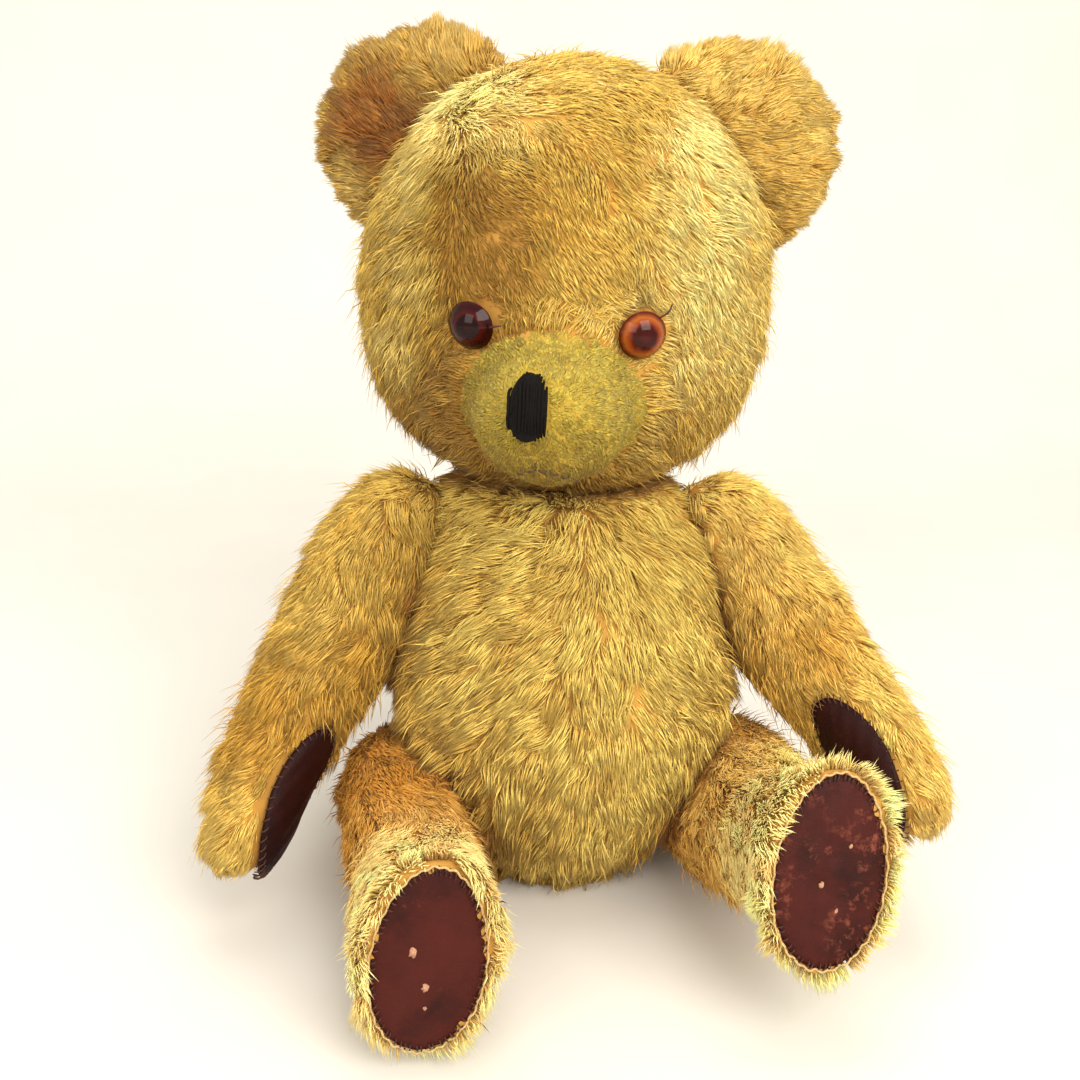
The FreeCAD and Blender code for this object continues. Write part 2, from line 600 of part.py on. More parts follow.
# ears: half-round, two layers, standing on the cover
EAR_R = dim("ear_radius", 43.0)
EAR_T = dim("ear_half_thick", 7.0)
seat_skin = loft("head", "-0.15")
for side in ("left", "right"):
    k = 1 if side == "left" else -1
    ear = add("Part::Ellipsoid", "EarBlank")
    bind(ear, Radius1="Dims.ear_radius", Radius2="Dims.ear_radius", Radius3="Dims.ear_half_thick")
    ear.Angle1, ear.Angle2, ear.Angle3 = -90, 90, 360
    ef = Pl(V(k * 58.0, 15.0, 127.0), Rot(V(1, 0, 0), -8).multiply(Rot(V(0, 0, 1), k * 4)))
    ear.Placement = ef
    flap = cut(ear, seat_skin, "EarFlap")
    front = box((200, 100, 200), (0, 0, 0), stem="EarFront")
    front.Placement = ef.multiply(Pl(V(-100, -100, -100), Rot()))
    back = box((200, 100, 200), (0, 0, 0), stem="EarBack")
    back.Placement = ef.multiply(Pl(V(-100, 0, -100), Rot()))
    node("ear_%s_front" % side, common(flap, front, "EarLayer"), HEAD)
    node("ear_%s_back" % side, common(flap, back, "EarLayer"), HEAD)

limb_hardware(HEAD, "neck_head_disc", "Dims.disc_radius_neck", "neck_pin", "neck_head_washer")

# ---------------------------------------------------------------------------
# Check and write
# ---------------------------------------------------------------------------
doc.recompute()
bad = [o.Name + ":" + ",".join(o.State) for o in doc.Objects if "Invalid" in o.State or "Error" in o.State]
if bad:
    raise SystemExit("objects in error: %s" % bad)
for label, obj in NODES.items():
    s = obj.Shape
    if s.isNull() or not s.isValid() or not s.Solids:
        raise SystemExit("bad shape: " + label)
for label, obj in NODES.items():
    obj.Shape.exportStep("parts/%s.step" % label)
    b = obj.Shape.BoundBox
    print("%-28s solids %d vol %9.1f  x %7.1f %7.1f  y %7.1f %7.1f  z %7.1f %7.1f" % (
        label, len(obj.Shape.Solids), obj.Shape.Volume, b.XMin, b.XMax, b.YMin, b.YMax, b.ZMin, b.ZMax))
print("nodes", len(NODES))
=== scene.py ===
import json
import math

import bpy
import numpy as np
from mathutils import Matrix, Vector
from mathutils.bvhtree import BVHTree
from mathutils.kdtree import KDTree

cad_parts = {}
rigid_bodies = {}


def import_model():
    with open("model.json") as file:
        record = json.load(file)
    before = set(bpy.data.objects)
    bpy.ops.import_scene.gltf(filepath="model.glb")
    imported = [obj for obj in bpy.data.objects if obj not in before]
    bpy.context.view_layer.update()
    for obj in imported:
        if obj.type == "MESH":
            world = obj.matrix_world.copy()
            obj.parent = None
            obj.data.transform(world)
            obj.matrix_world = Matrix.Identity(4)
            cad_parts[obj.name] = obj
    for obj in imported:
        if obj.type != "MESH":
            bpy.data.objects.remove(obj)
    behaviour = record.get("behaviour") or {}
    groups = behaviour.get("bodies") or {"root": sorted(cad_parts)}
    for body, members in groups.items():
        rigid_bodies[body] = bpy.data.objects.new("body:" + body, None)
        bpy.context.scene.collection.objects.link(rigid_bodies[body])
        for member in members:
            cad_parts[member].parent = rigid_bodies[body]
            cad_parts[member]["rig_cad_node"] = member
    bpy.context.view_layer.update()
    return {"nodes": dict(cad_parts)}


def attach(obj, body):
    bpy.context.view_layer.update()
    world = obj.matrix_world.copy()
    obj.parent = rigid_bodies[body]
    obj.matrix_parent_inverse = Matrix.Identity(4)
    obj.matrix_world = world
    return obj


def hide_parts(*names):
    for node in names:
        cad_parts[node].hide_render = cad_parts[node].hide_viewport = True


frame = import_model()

MM = 0.001
scene = bpy.context.scene

# ---------------------------------------------------------------------------
# Frames, all in millimetres: columns of R are the local axes, o is the origin
# ---------------------------------------------------------------------------
LEAN = math.radians(20.0)


def rot_x(a):
    c, s = math.cos(a), math.sin(a)
    return np.array([[1, 0, 0], [0, c, -s], [0, s, c]])


def rot_z(a):
    c, s = math.cos(a), math.sin(a)
    return np.array([[c, -s, 0], [s, c, 0], [0, 0, 1]])


class Fr:
    def __init__(self, R, o):
        self.R, self.o = np.array(R, float), np.array(o, float)

    def out(self, p):
        return np.asarray(p, float) @ self.R.T + self.o

    def vec(self, v):
        return np.asarray(v, float) @ self.R.T

    def inn(self, p):
        return (np.asarray(p, float) - self.o) @ self.R

    def ivec(self, v):
        return np.asarray(v, float) @ self.R


TORSO = Fr(rot_x(-LEAN), (0, 0, 0))


def limb_frame(origin, out, along):
    z = np.array(out, float)
    z /= np.linalg.norm(z)
    x = np.array(along, float)
    x -= z * x.dot(z)
    x /= np.linalg.norm(x)
    y = np.cross(z, x)
    R = np.stack([x, y, z], 1)
    return Fr(TORSO.R @ R, TORSO.out(origin))


def arm_fr(side):
    k = 1 if side == "left" else -1
    a = math.radians(14.0)
    sw = math.radians(28.0 if side == "left" else 15.0)
    out = np.array([k * math.cos(a), 0, math.sin(a)])
    down = np.array([k * math.sin(a), 0, -math.cos(a)])
    return limb_frame((k * 54.0, 0, 125.0), out, down * math.cos(sw) + np.array([0, -1, 0]) * math.sin(sw))


def leg_fr(side):
    k = 1 if side == "left" else -1
    a = math.radians(27.0)
    sw = math.radians(2.0 if side == "left" else 16.0)
    out = np.array([k * math.cos(a), 0, -math.sin(a)])
    down = np.array([-k * math.sin(a), 0, -math.cos(a)])
    return limb_frame((k * 46.0, 0, 40.5), out, np.array([0, -1, 0]) * math.cos(sw) + down * math.sin(sw))


ARM = {s: arm_fr(s) for s in ("left", "right")}
LEG = {s: leg_fr(s) for s in ("left", "right")}
HEAD = Fr(rot_z(math.radians(-11.0)), TORSO.out((0, 14, 162)))
TWIST = {"left": 20.0, "right": 30.0}
MUZ_Z = 41.5
SOLE_X = 110.5
LEG_SIGN = {s: (1 if LEG[s].vec((0, 1, 0))[2] > 0 else -1) for s in LEG}
ARM_SIGN = {"left": -1, "right": 1}

SECTIONS = {
    "torso": [(-4, 9, 8, 8, 0), (0, 21, 20, 7, 0), (7, 33, 32, 6, 0), (18, 44.5, 42, 4, 0),
              (36, 57, 51.5, 1, 0), (60, 66.5, 57.5, -1, 0), (85, 66, 57.5, -1, 0),
              (108, 63, 54, 0, 0), (130, 59, 48, 3, 0), (148, 52, 40.5, 8, 0),
              (162, 42, 33, 13, 0), (173, 29, 23, 18, 0), (178, 18, 13, 20, 0)],
    "head": [(1, 40, 36, 1, 0), (9, 52, 47, 0, 0), (22, 65, 58, -1, 0), (42, 75.5, 66.5, -2, 0),
             (66, 79.5, 70.5, -2, 0), (92, 78.5, 70, 0, 0), (116, 70.5, 65, 2, 0),
             (136, 56.5, 54, 3, 0), (150, 39.5, 39, 4, 0), (158, 23, 23, 4, 0), (161.5, 9, 9, 4, 0)],
    "muzzle": [(48, 31.5, 26.5, 0, 0), (66, 31, 26.2, 0, 0), (80, 29.5, 25.5, 0, 0),
               (92, 26, 22.8, 0, 0), (100, 20.5, 18, 0, 0), (105, 12.5, 11, 0, 0),
               (106.6, 6, 5.3, 0, 0)],
    "arm": [(-33, 8.5, 7.5, 0, 14), (-29, 17.5, 13.5, 0, 14.5), (-18, 26.5, 20, 0, 15.5), (0, 30, 25, 0, 18.5),
            (25, 30.5, 25.6, -1.5, 23.0), (50, 29.5, 24, -2.5, 29.2), (75, 27, 21, -0.5, 35.4),
            (98, 24.5, 17.8, 3, 40.0), (115, 21, 15.8, 6, 41.2), (127, 14.5, 11.4, 8, 41.3),
            (132, 7, 6.4, 9, 40.9)],
    "leg": [(-32, 9, 8, 0, 14), (-28, 17, 14, 0, 14.5), (-18, 25, 20.5, 0, 16.5), (0, 31, 25.5, 0, 18.5),
            (25, 32, 23.6, 0, 20.3), (48, 30.2, 22.3, 0, 22.4), (68, 28.8, 22.2, 1, 24.7),
            (86, 30.8, 22.8, 2.5, 26.3), (98, 34.0, 22.6, 3, 27), (106, 34.6, 22.6, 3, 27),
            (110.5, 33.6, 21.9, 3, 27)],
}


# ---------------------------------------------------------------------------
# Small numeric helpers
# ---------------------------------------------------------------------------
def unit(v):
    v = np.asarray(v, float)
    return v / np.maximum(np.linalg.norm(v, axis=-1, keepdims=True), 1e-9)


def smooth(x, a, b):
    t = np.clip((np.asarray(x, float) - a) / (b - a), 0, 1)
    return t * t * (3 - 2 * t)


def lattice(ix, iy, iz, seed):
    n = (ix * 73856093) ^ (iy * 19349663) ^ (iz * 83492791) ^ (seed * 2654435761)
    n = n & 0xFFFFFFFF
    n = ((n ^ (n >> 15)) * 2246822519) & 0xFFFFFFFF
    n = ((n ^ (n >> 13)) * 3266489917) & 0xFFFFFFFF
    return ((n ^ (n >> 16)) & 0xFFFFFF) / float(0xFFFFFF)


def noise(p, scale, seed):
    """Smooth value noise in -1..1."""
    q = np.asarray(p, float) / scale + 1000.0
    i = np.floor(q).astype(np.int64)
    f = q - i
    f = f * f * (3 - 2 * f)
    total = 0
    for dx in (0, 1):
        for dy in (0, 1):
            for dz in (0, 1):
                w = (f[:, 0] if dx else 1 - f[:, 0]) * (f[:, 1] if dy else 1 - f[:, 1]) * (f[:, 2] if dz else 1 - f[:, 2])
                total = total + w * lattice(i[:, 0] + dx, i[:, 1] + dy, i[:, 2] + dz, seed)
    return total * 2 - 1


def hermite(xs, ys, x):
    """Smooth curve through the rows of a table."""
    xs, ys = np.array(xs, float), np.array(ys, float)
    d = np.diff(ys, axis=0) / np.diff(xs)[:, None]
    m = np.zeros_like(ys)
    m[0], m[-1] = d[0], d[-1]
    h = np.diff(xs)
    for i in range(1, len(xs) - 1):
        m[i] = (d[i - 1] * h[i] + d[i] * h[i - 1]) / (h[i] + h[i - 1])
    k = np.clip(np.searchsorted(xs, x) - 1, 0, len(xs) - 2)
    t = ((x - xs[k]) / h[k])[:, None]
    hh = h[k][:, None]
    return ((2 * t**3 - 3 * t**2 + 1) * ys[k] + (t**3 - 2 * t**2 + t) * hh * m[k]
            + (-2 * t**3 + 3 * t**2) * ys[k + 1] + (t**3 - t**2) * hh * m[k + 1])


def lin(r, g, b):
    """sRGB 0..255 to linear."""
    c = np.array([r, g, b], float) / 255.0
    return np.where(c <= 0.04045, c / 12.92, ((c + 0.055) / 1.055) ** 2.4)


def loft_mesh(kind, sign=1, twist=0.0, ns=72, na=72):
    """Closed surface through the section ellipses, local frame, mm."""
    rows = SECTIONS[kind]
    st = [r[0] for r in rows]
    x = np.linspace(st[0], st[-1], ns)
    if kind != "muzzle":
        # closer stations near the rounded ends
        s = np.linspace(0, 1, ns)
        x = st[0] + (st[-1] - st[0]) * (0.5 - 0.5 * np.cos(np.pi * s)) * 0.7 + (st[-1] - st[0]) * s * 0.3
    v = hermite(st, [r[1:] for r in rows], x)
    a = np.linspace(0, 2 * np.pi, na, endpoint=False)
    ca, sa = np.cos(a)[None], np.sin(a)[None]
    w, t, c1, c2 = (v[:, i][:, None] for i in range(4))
    X = x[:, None] + 0 * ca
    if kind in ("torso", "head"):
        P = np.stack([w * ca, t * sa + c1, X], -1)
    elif kind == "muzzle":
        P = np.stack([w * ca, -X, -t * sa + MUZ_Z], -1)
    else:
        f = smooth(X, 36, 92)
        an = math.radians(twist) * f
        ly, lz = w * ca, t * sa
        P = np.stack([X, sign * c1 + ly * np.cos(an) - lz * np.sin(an), c2 + ly * np.sin(an) + lz * np.cos(an)], -1)
    verts = P.reshape(-1, 3)
    faces = []
    for i in range(ns - 1):
        for j in range(na):
            k = (j + 1) % na
            faces.append((i * na + j, i * na + k, (i + 1) * na + k, (i + 1) * na + j))
    lo, hi = len(verts), len(verts) + 1
    verts = np.vstack([verts, P[0].mean(0), P[-1].mean(0)])
    for j in range(na):
        k = (j + 1) % na
        faces.append((lo, k, j))
        faces.append((hi, (ns - 1) * na + j, (ns - 1) * na + k))
    # outward normals
    tri = [(f[0], f[1], f[2]) for f in faces]
    T = verts[np.array(tri)]
    vol = np.einsum("ij,ij->i", T[:, 0], np.cross(T[:, 1], T[:, 2])).sum()
    if kind in ("torso", "head", "muzzle", "arm", "leg"):
        c = verts.mean(0)
        vol = np.einsum("ij,ij->i", T[:, 0] - c, np.cross(T[:, 1] - c, T[:, 2] - c)).sum()
    if vol < 0:
        faces = [tuple(reversed(f)) for f in faces]
    return verts, faces


def clamp_plane(verts, origin, normal):
    """Press everything beyond a plane flat onto it."""
    n = unit(normal)
    d = (verts - origin) @ n
    return verts - np.maximum(d, 0)[:, None] * n


def new_object(name, verts_mm, faces, smooth_shade=True):
    me = bpy.data.meshes.new(name)
    me.from_pydata((np.asarray(verts_mm) * MM).tolist(), [], [tuple(int(i) for i in f) for f in faces])
    me.validate()
    me.update()
    if smooth_shade:
        me.polygons.foreach_set("use_smooth", np.ones(len(me.polygons), bool))
    o = bpy.data.objects.new(name, me)
    scene.collection.objects.link(o)
    return o


def coords(me):
    a = np.zeros(len(me.vertices) * 3, np.float32)
    me.vertices.foreach_get("co", a)
    return a.reshape(-1, 3).astype(float) / MM


def set_coords(me, c):
    me.vertices.foreach_set("co", (np.asarray(c) * MM).astype(np.float32).ravel())
    me.update()


def normals(me):
    a = np.zeros(len(me.vertices) * 3, np.float32)
    me.vertex_normals.foreach_get("vector", a)
    return a.reshape(-1, 3).astype(float)


def freeze(o):
    """Apply every modifier."""
    bpy.context.view_layer.update()
    dg = bpy.context.evaluated_depsgraph_get()
    me = bpy.data.meshes.new_from_object(o.evaluated_get(dg), depsgraph=dg)
    old = o.data
    o.modifiers.clear()
    o.data = me
    me.name = o.name
    bpy.data.meshes.remove(old)
    me.polygons.foreach_set("use_smooth", np.ones(len(me.polygons), bool))
    return o


# ---------------------------------------------------------------------------
# Materials
# ---------------------------------------------------------------------------
def node_material(name, build, **principled):
    m = bpy.data.materials.new(name)
    m.use_nodes = True
    nt = m.node_tree
    b = nt.nodes["Principled BSDF"]
    for k, v in principled.items():
        b.inputs[k.replace("_", " ")].default_value = v
    build(nt, b)
    return m


def tex(nt, kind, scale, **kw):
    n = nt.nodes.new(kind)
    if "Scale" in n.inputs:
        n.inputs["Scale"].default_value = scale
    for k, v in kw.items():
        if k in n.inputs:
            n.inputs[k].default_value = v
        else:
            setattr(n, k, v)
    tc = nt.nodes.new("ShaderNodeTexCoord")
    nt.links.new(tc.outputs["Object"], n.inputs["Vector"])
    return n


def ramp(nt, fac, stops):
    r = nt.nodes.new("ShaderNodeValToRGB")
    e = r.color_ramp.elements
    while len(e) < len(stops):
        e.new(0.5)
    for el, (pos, col) in zip(e, stops):
        el.position = pos
        el.color = (*col, 1)
    nt.links.new(fac, r.inputs["Fac"])
    return r


def bump(nt, b, height, strength, dist):
    n = nt.nodes.new("ShaderNodeBump")
    n.inputs["Strength"].default_value = strength
    n.inputs["Distance"].default_value = dist
    nt.links.new(height, n.inputs["Height"])
    nt.links.new(n.outputs["Normal"], b.inputs["Normal"])


def cloth_material(name, dark, light, scale=900.0):
    def build(nt, b):
        n1 = tex(nt, "ShaderNodeTexNoise", 60.0, Detail=6.0)
        r = ramp(nt, n1.outputs["Fac"], [(0.3, dark), (0.7, light)])
        nt.links.new(r.outputs["Color"], b.inputs["Base Color"])
        w = tex(nt, "ShaderNodeTexWave", scale, Distortion=1.5)
        bump(nt, b, w.outputs["Fac"], 0.4, 0.0004)
    return node_material(name, build, Roughness=0.9)


def metal_material(name, dark, light):
    def build(nt, b):
        n1 = tex(nt, "ShaderNodeTexNoise", 400.0, Detail=5.0)
        r = ramp(nt, n1.outputs["Fac"], [(0.35, dark), (0.65, light)])
        nt.links.new(r.outputs["Color"], b.inputs["Base Color"])
        bump(nt, b, n1.outputs["Fac"], 0.15, 0.0002)
    return node_material(name, build, Roughness=0.35, Metallic=1.0)


def board_material(name, dark, light, scale=300.0):
    def build(nt, b):
        n1 = tex(nt, "ShaderNodeTexNoise", scale, Detail=8.0, Roughness=0.7)
        r = ramp(nt, n1.outputs["Fac"], [(0.35, dark), (0.65, light)])
        nt.links.new(r.outputs["Color"], b.inputs["Base Color"])
        bump(nt, b, n1.outputs["Fac"], 0.3, 0.0003)
    return node_material(name, build, Roughness=0.85)


def leather_material(name, base, dark, worn, seed, wear):
    """Old leathercloth: mottled maroon, fine grain, peeled lighter patches, dull."""
    def build(nt, b):
        big = tex(nt, "ShaderNodeTexNoise", 55.0 + seed, Detail=5.0, Roughness=0.62)
        r = ramp(nt, big.outputs["Fac"], [(0.30, dark), (0.50, base), (0.72, tuple(np.array(base) * 1.25))])
        fine = tex(nt, "ShaderNodeTexNoise", 210.0 + 7 * seed, Detail=6.0, Roughness=0.7)
        rw = ramp(nt, fine.outputs["Fac"], [(0.60 - wear, (0, 0, 0)), (0.70 - wear * 0.5, (1, 1, 1))])
        big2 = tex(nt, "ShaderNodeTexNoise", 38.0 + 3 * seed, Detail=3.0)
        rb = ramp(nt, big2.outputs["Fac"], [(0.46, (0, 0, 0)), (0.62, (1, 1, 1))])
        mul = nt.nodes.new("ShaderNodeMath")
        mul.operation = "MULTIPLY"
        nt.links.new(rw.outputs["Color"], mul.inputs[0])
        nt.links.new(rb.outputs["Color"], mul.inputs[1])
        mix = nt.nodes.new("ShaderNodeMix")
        mix.data_type = "RGBA"
        nt.links.new(mul.outputs[0], mix.inputs[0])
        nt.links.new(r.outputs["Color"], mix.inputs[6])
        mix.inputs[7].default_value = (*worn, 1)
        nt.links.new(mix.outputs[2], b.inputs["Base Color"])
        grain = tex(nt, "ShaderNodeTexVoronoi", 1500.0)
        add = nt.nodes.new("ShaderNodeMath")
        add.operation = "MULTIPLY_ADD"
        nt.links.new(grain.outputs["Distance"], add.inputs[0])
        add.inputs[1].default_value = 0.6
        nt.links.new(fine.outputs["Fac"], add.inputs[2])
        bump(nt, b, add.outputs[0], 0.35, 0.0005)
        rr = ramp(nt, fine.outputs["Fac"], [(0.3, (0.46, 0.46, 0.46)), (0.7, (0.72, 0.72, 0.72))])
        nt.links.new(rr.outputs["Color"], b.inputs["Roughness"])
    return node_material(name, build, Specular_IOR_Level=0.14)


def thread_material(name, dark, light, rough=0.7):
    def build(nt, b):
        n1 = tex(nt, "ShaderNodeTexNoise", 1400.0, Detail=3.0)
        r = ramp(nt, n1.outputs["Fac"], [(0.3, dark), (0.7, light)])
        nt.links.new(r.outputs["Color"], b.inputs["Base Color"])
        w = tex(nt, "ShaderNodeTexWave", 2500.0, Distortion=2.0)
        bump(nt, b, w.outputs["Fac"], 0.4, 0.0002)
    return node_material(name, build, Roughness=rough)


def plastic_eye(name, inner, mid, outer, centre_mm, normal, r_mm):
    """Clear-looking amber plastic: colour deepens towards the middle."""
    def build(nt, b):
        sub = nt.nodes.new("ShaderNodeVectorMath")
        sub.operation = "SUBTRACT"
        tc = nt.nodes.new("ShaderNodeTexCoord")
        nt.links.new(tc.outputs["Object"], sub.inputs[0])
        sub.inputs[1].default_value = tuple(np.array(centre_mm) * MM)
        cr = nt.nodes.new("ShaderNodeVectorMath")
        cr.operation = "CROSS_PRODUCT"
        nt.links.new(sub.outputs[0], cr.inputs[0])
        cr.inputs[1].default_value = tuple(normal)
        ln = nt.nodes.new("ShaderNodeVectorMath")
        ln.operation = "LENGTH"
        nt.links.new(cr.outputs[0], ln.inputs[0])
        mul = nt.nodes.new("ShaderNodeMath")
        mul.operation = "MULTIPLY"
        nt.links.new(ln.outputs["Value"], mul.inputs[0])
        mul.inputs[1].default_value = 1.0 / (r_mm * MM)
        nz = tex(nt, "ShaderNodeTexNoise", 500.0, Detail=2.0)
        ad = nt.nodes.new("ShaderNodeMath")
        ad.operation = "MULTIPLY_ADD"
        nt.links.new(nz.outputs["Fac"], ad.inputs[0])
        ad.inputs[1].default_value = 0.12
        nt.links.new(mul.outputs[0], ad.inputs[2])
        r = ramp(nt, ad.outputs[0], [(0.10, tuple(np.array(inner) * 1.6)), (0.34, inner), (0.52, inner), (0.62, mid), (0.84, outer), (1.0, tuple(np.array(mid) * 0.6))])
        nt.links.new(r.outputs["Color"], b.inputs["Base Color"])
    return node_material(name, build, Roughness=0.10, IOR=1.45, Specular_IOR_Level=0.22)


BACKING = cloth_material("backing_cloth", tuple(lin(166, 114, 40)), tuple(lin(196, 148, 64)))
BACKING_MUZZLE = cloth_material("backing_muzzle", tuple(lin(158, 128, 36)), tuple(lin(184, 152, 52)))
STEEL = metal_material("bright_steel", (0.42, 0.42, 0.43), (0.6, 0.6, 0.6))
BOARD = board_material("hardboard_discs", tuple(lin(98, 66, 38)), tuple(lin(132, 94, 58)))
CARD = board_material("plain_card", tuple(lin(150, 125, 90)), tuple(lin(178, 152, 114)))
LOCK = board_material("lock_washer_plastic", (0.60, 0.60, 0.57), (0.72, 0.72, 0.68))
SEAM = thread_material("seam_thread_tan", tuple(lin(140, 104, 48)), tuple(lin(180, 142, 76)))
BLACK = thread_material("black_satin_thread", (0.002, 0.0016, 0.0015), (0.007, 0.005, 0.004), 0.75)
BLACK.node_tree.nodes["Principled BSDF"].inputs["Specular IOR Level"].default_value = 0.10
MOUTH = thread_material("mouth_thread_worn", tuple(lin(52, 34, 14)), tuple(lin(88, 62, 26)), 0.8)
WHIP = thread_material("pad_edge_thread", tuple(lin(48, 18, 11)), tuple(lin(84, 44, 26)), 0.8)
CREAM = thread_material("backing_edge_cream", tuple(lin(176, 140, 84)), tuple(lin(214, 182, 126)), 0.85)
SOLE_L = leather_material("leathercloth_sole_a", tuple(lin(62, 19, 12)), tuple(lin(40, 9, 6)), tuple(lin(92, 44, 32)), 2, 0.0)
SOLE_R = leather_material("leathercloth_sole_b", tuple(lin(58, 17, 11)), tuple(lin(36, 8, 5)), tuple(lin(116, 60, 44)), 5, 0.07)
PAW = leather_material("leathercloth_paw", tuple(lin(36, 6, 4)), tuple(lin(22, 3, 3)), tuple(lin(58, 20, 14)), 9, 0.02)

# ---------------------------------------------------------------------------
# Stuffed skins
# ---------------------------------------------------------------------------
JOINT = {
    "shoulder_left": ARM["left"], "shoulder_right": ARM["right"],
    "hip_left": LEG["left"], "hip_right": LEG["right"],
}
NECK_N = np.array([0, 0, 1.0])
NECK_O = HEAD.o


def flat_weight(p, planes, near=1.0, far=7.0):
    """0 on a joint face, 1 away from it."""
    w = np.ones(len(p))
    for o, n in planes:
        d = np.abs((p - o) @ unit(n))
        w = np.minimum(w, smooth(d, near, far))
    return w


def puff(o, planes, cap, voxel=4.5, shrink=3.0, frames=20, seed=1):
    """Remesh a closed shape, draw it in a little, let it swell as cloth over stuffing, and cap how far it moved."""
    m = o.modifiers.new("remesh", "REMESH")
    m.mode = "VOXEL"
    m.voxel_size = voxel * MM
    m.use_smooth_shade = True
    freeze(o)
    me = o.data
    for _ in range(2):
        c = coords(me)
        # a light relax keeps the voxel steps out of the surface
        e = np.zeros(len(me.edges) * 2, np.int32)
        me.edges.foreach_get("vertices", e)
        e = e.reshape(-1, 2)
        s = np.zeros_like(c)
        k = np.zeros(len(c))
        for a, b in ((0, 1), (1, 0)):
            np.add.at(s, e[:, a], c[e[:, b]])
            np.add.at(k, e[:, a], 1)
        w = flat_weight(c, planes)[:, None] * 0.5
        set_coords(me, c * (1 - w) + (s / k[:, None]) * w)
    c, n = coords(me), normals(me)
    w = flat_weight(c, planes)
    set_coords(me, c - n * (shrink * w)[:, None])
    start = coords(me)
    md = o.modifiers.new("cloth", "CLOTH")
    st = md.settings
    st.quality = 5
    st.mass = 0.3
    st.tension_stiffness = st.compression_stiffness = 15
    st.shear_stiffness = 5
    st.bending_stiffness = 0.5
    st.use_pressure = True
    st.uniform_pressure_force = 4.0
    st.effector_weights.gravity = 0.0
    md.point_cache.frame_start, md.point_cache.frame_end = 1, frames
    for f in range(1, frames + 1):
        scene.frame_set(f)
    freeze(o)
    scene.frame_set(1)
    moved = coords(o.data) - start
    w = flat_weight(start, planes)
    length = np.linalg.norm(moved, axis=1)
    limit = cap * w
    moved *= (np.minimum(length, limit) / np.maximum(length, 1e-6))[:, None]
    set_coords(o.data, start + moved)
    s = o.modifiers.new("subdivision", "SUBSURF")
    s.levels = s.render_levels = 1
    freeze(o)
    return o


def place_local(kind, fr, sign=1, twist=0.0):
    v, f = loft_mesh(kind, sign, twist)
    return v, f


# torso
v, f = loft_mesh("torso")
vw = TORSO.out(v)
torso_planes = []
for j in ("shoulder_left", "shoulder_right", "hip_left", "hip_right"):
    fr = JOINT[j]
    vw = clamp_plane(vw, fr.o, fr.R[:, 2])
    torso_planes.append((fr.o, fr.R[:, 2]))
vw = clamp_plane(vw, NECK_O, NECK_N)
torso_planes.append((NECK_O, NECK_N))
vw = clamp_plane(vw, np.zeros(3), np.array([0, 0, -1.0]))
torso_planes.append((np.zeros(3), np.array([0, 0, 1.0])))
SKIN = {}
SKIN["torso"] = puff(new_object("skin_torso", vw, f), torso_planes, 1.6)

# limbs
for side in ("left", "right"):
    for kind, FR, sg, tw in (("arm", ARM, ARM_SIGN, 0.0), ("leg", LEG, LEG_SIGN, None)):
        fr = FR[side]
        t = 0.0 if tw is not None else -sg[side] * TWIST[side]
        v, f = loft_mesh(kind, sg[side], t)
        v[:, 2] = np.maximum(v[:, 2], 1.0)
        planes = [(fr.out((0, 0, 1.0)), fr.R[:, 2])]
        if kind == "leg":
            planes.append((fr.out((SOLE_X, 0, 0)), fr.R[:, 0]))
        key = "%s_%s" % (kind, side)
        SKIN[key] = puff(new_object("skin_" + key, fr.out(v), f), planes, 1.6, voxel=4.0)

# head with its muzzle, as one closed skin
v, f = loft_mesh("head")
mv, mf = loft_mesh("muzzle")
head_rest = (HEAD.out(v), f)
muzzle_rest = (HEAD.out(mv), mf)
allv = np.vstack([HEAD.out(v), HEAD.out(mv)])
allf = list(f) + [tuple(i + len(v) for i in q) for q in mf]
head_planes = [(HEAD.out((0, 0, 1.0)), NECK_N)]
SKIN["head"] = puff(new_object("skin_head", allv, allf), head_planes, 1.4)

# ears: thin two-layer cups
EAR = {}
for side in ("left", "right"):
    k = 1 if side == "left" else -1
    R = HEAD.R @ rot_x(math.radians(-8)) @ rot_z(math.radians(4 * k))
    fr = Fr(R, HEAD.out((k * 58.0, 15.0, 127.0)))
    EAR[side] = fr
    nr, na = 16, 72
    verts, faces = [], []
    for face_side in (-1, 1):
        for i in range(nr):
            rho = math.sin(0.5 * math.pi * (i + 1) / nr) if i < nr - 1 else 1.0
            for j in range(na):
                th = 2 * math.pi * j / na
                wob = 1 + 0.018 * math.sin(3 * th + k) + 0.012 * math.sin(5 * th)
                h = 5.2 * math.sqrt(max(0.0, 1 - rho * rho))
                y = 3.2 * (1 - rho * rho) - 0.5 + face_side * h
                verts.append((42.5 * rho * wob * math.cos(th), y, 42.5 * rho * wob * math.sin(th)))
    n1 = nr * na
    for s in (0, 1):
        base = s * n1
        verts.append((0, 3.2 - 0.5 + (-5.2 if s == 0 else 5.2), 0))
        c = len(verts) - 1
        for j in range(na):
            q = (c, base + (j + 1) % na, base + j)
            faces.append(q if s else tuple(reversed(q)))
        for i in range(nr - 1):
            for j in range(na):
                a, b_ = base + i * na + j, base + i * na + (j + 1) % na
                q = (a, b_, b_ + na, a + na)
                faces.append(q if s else tuple(reversed(q)))
    # the two layers share their rim: weld by position
    o = new_object("skin_ear_" + side, fr.out(np.array(verts)), faces)
    w = o.modifiers.new("weld", "WELD")
    w.merge_threshold = 0.00002
    freeze(o)
    SKIN["ear_" + side] = puff(o, [], 1.0, voxel=3.0, shrink=0.6)

for key, o in SKIN.items():
    o.data.materials.clear()
    o.data.materials.append(BACKING)
    body = "head" if key.startswith(("ear", "head")) else key
    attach(o, body)

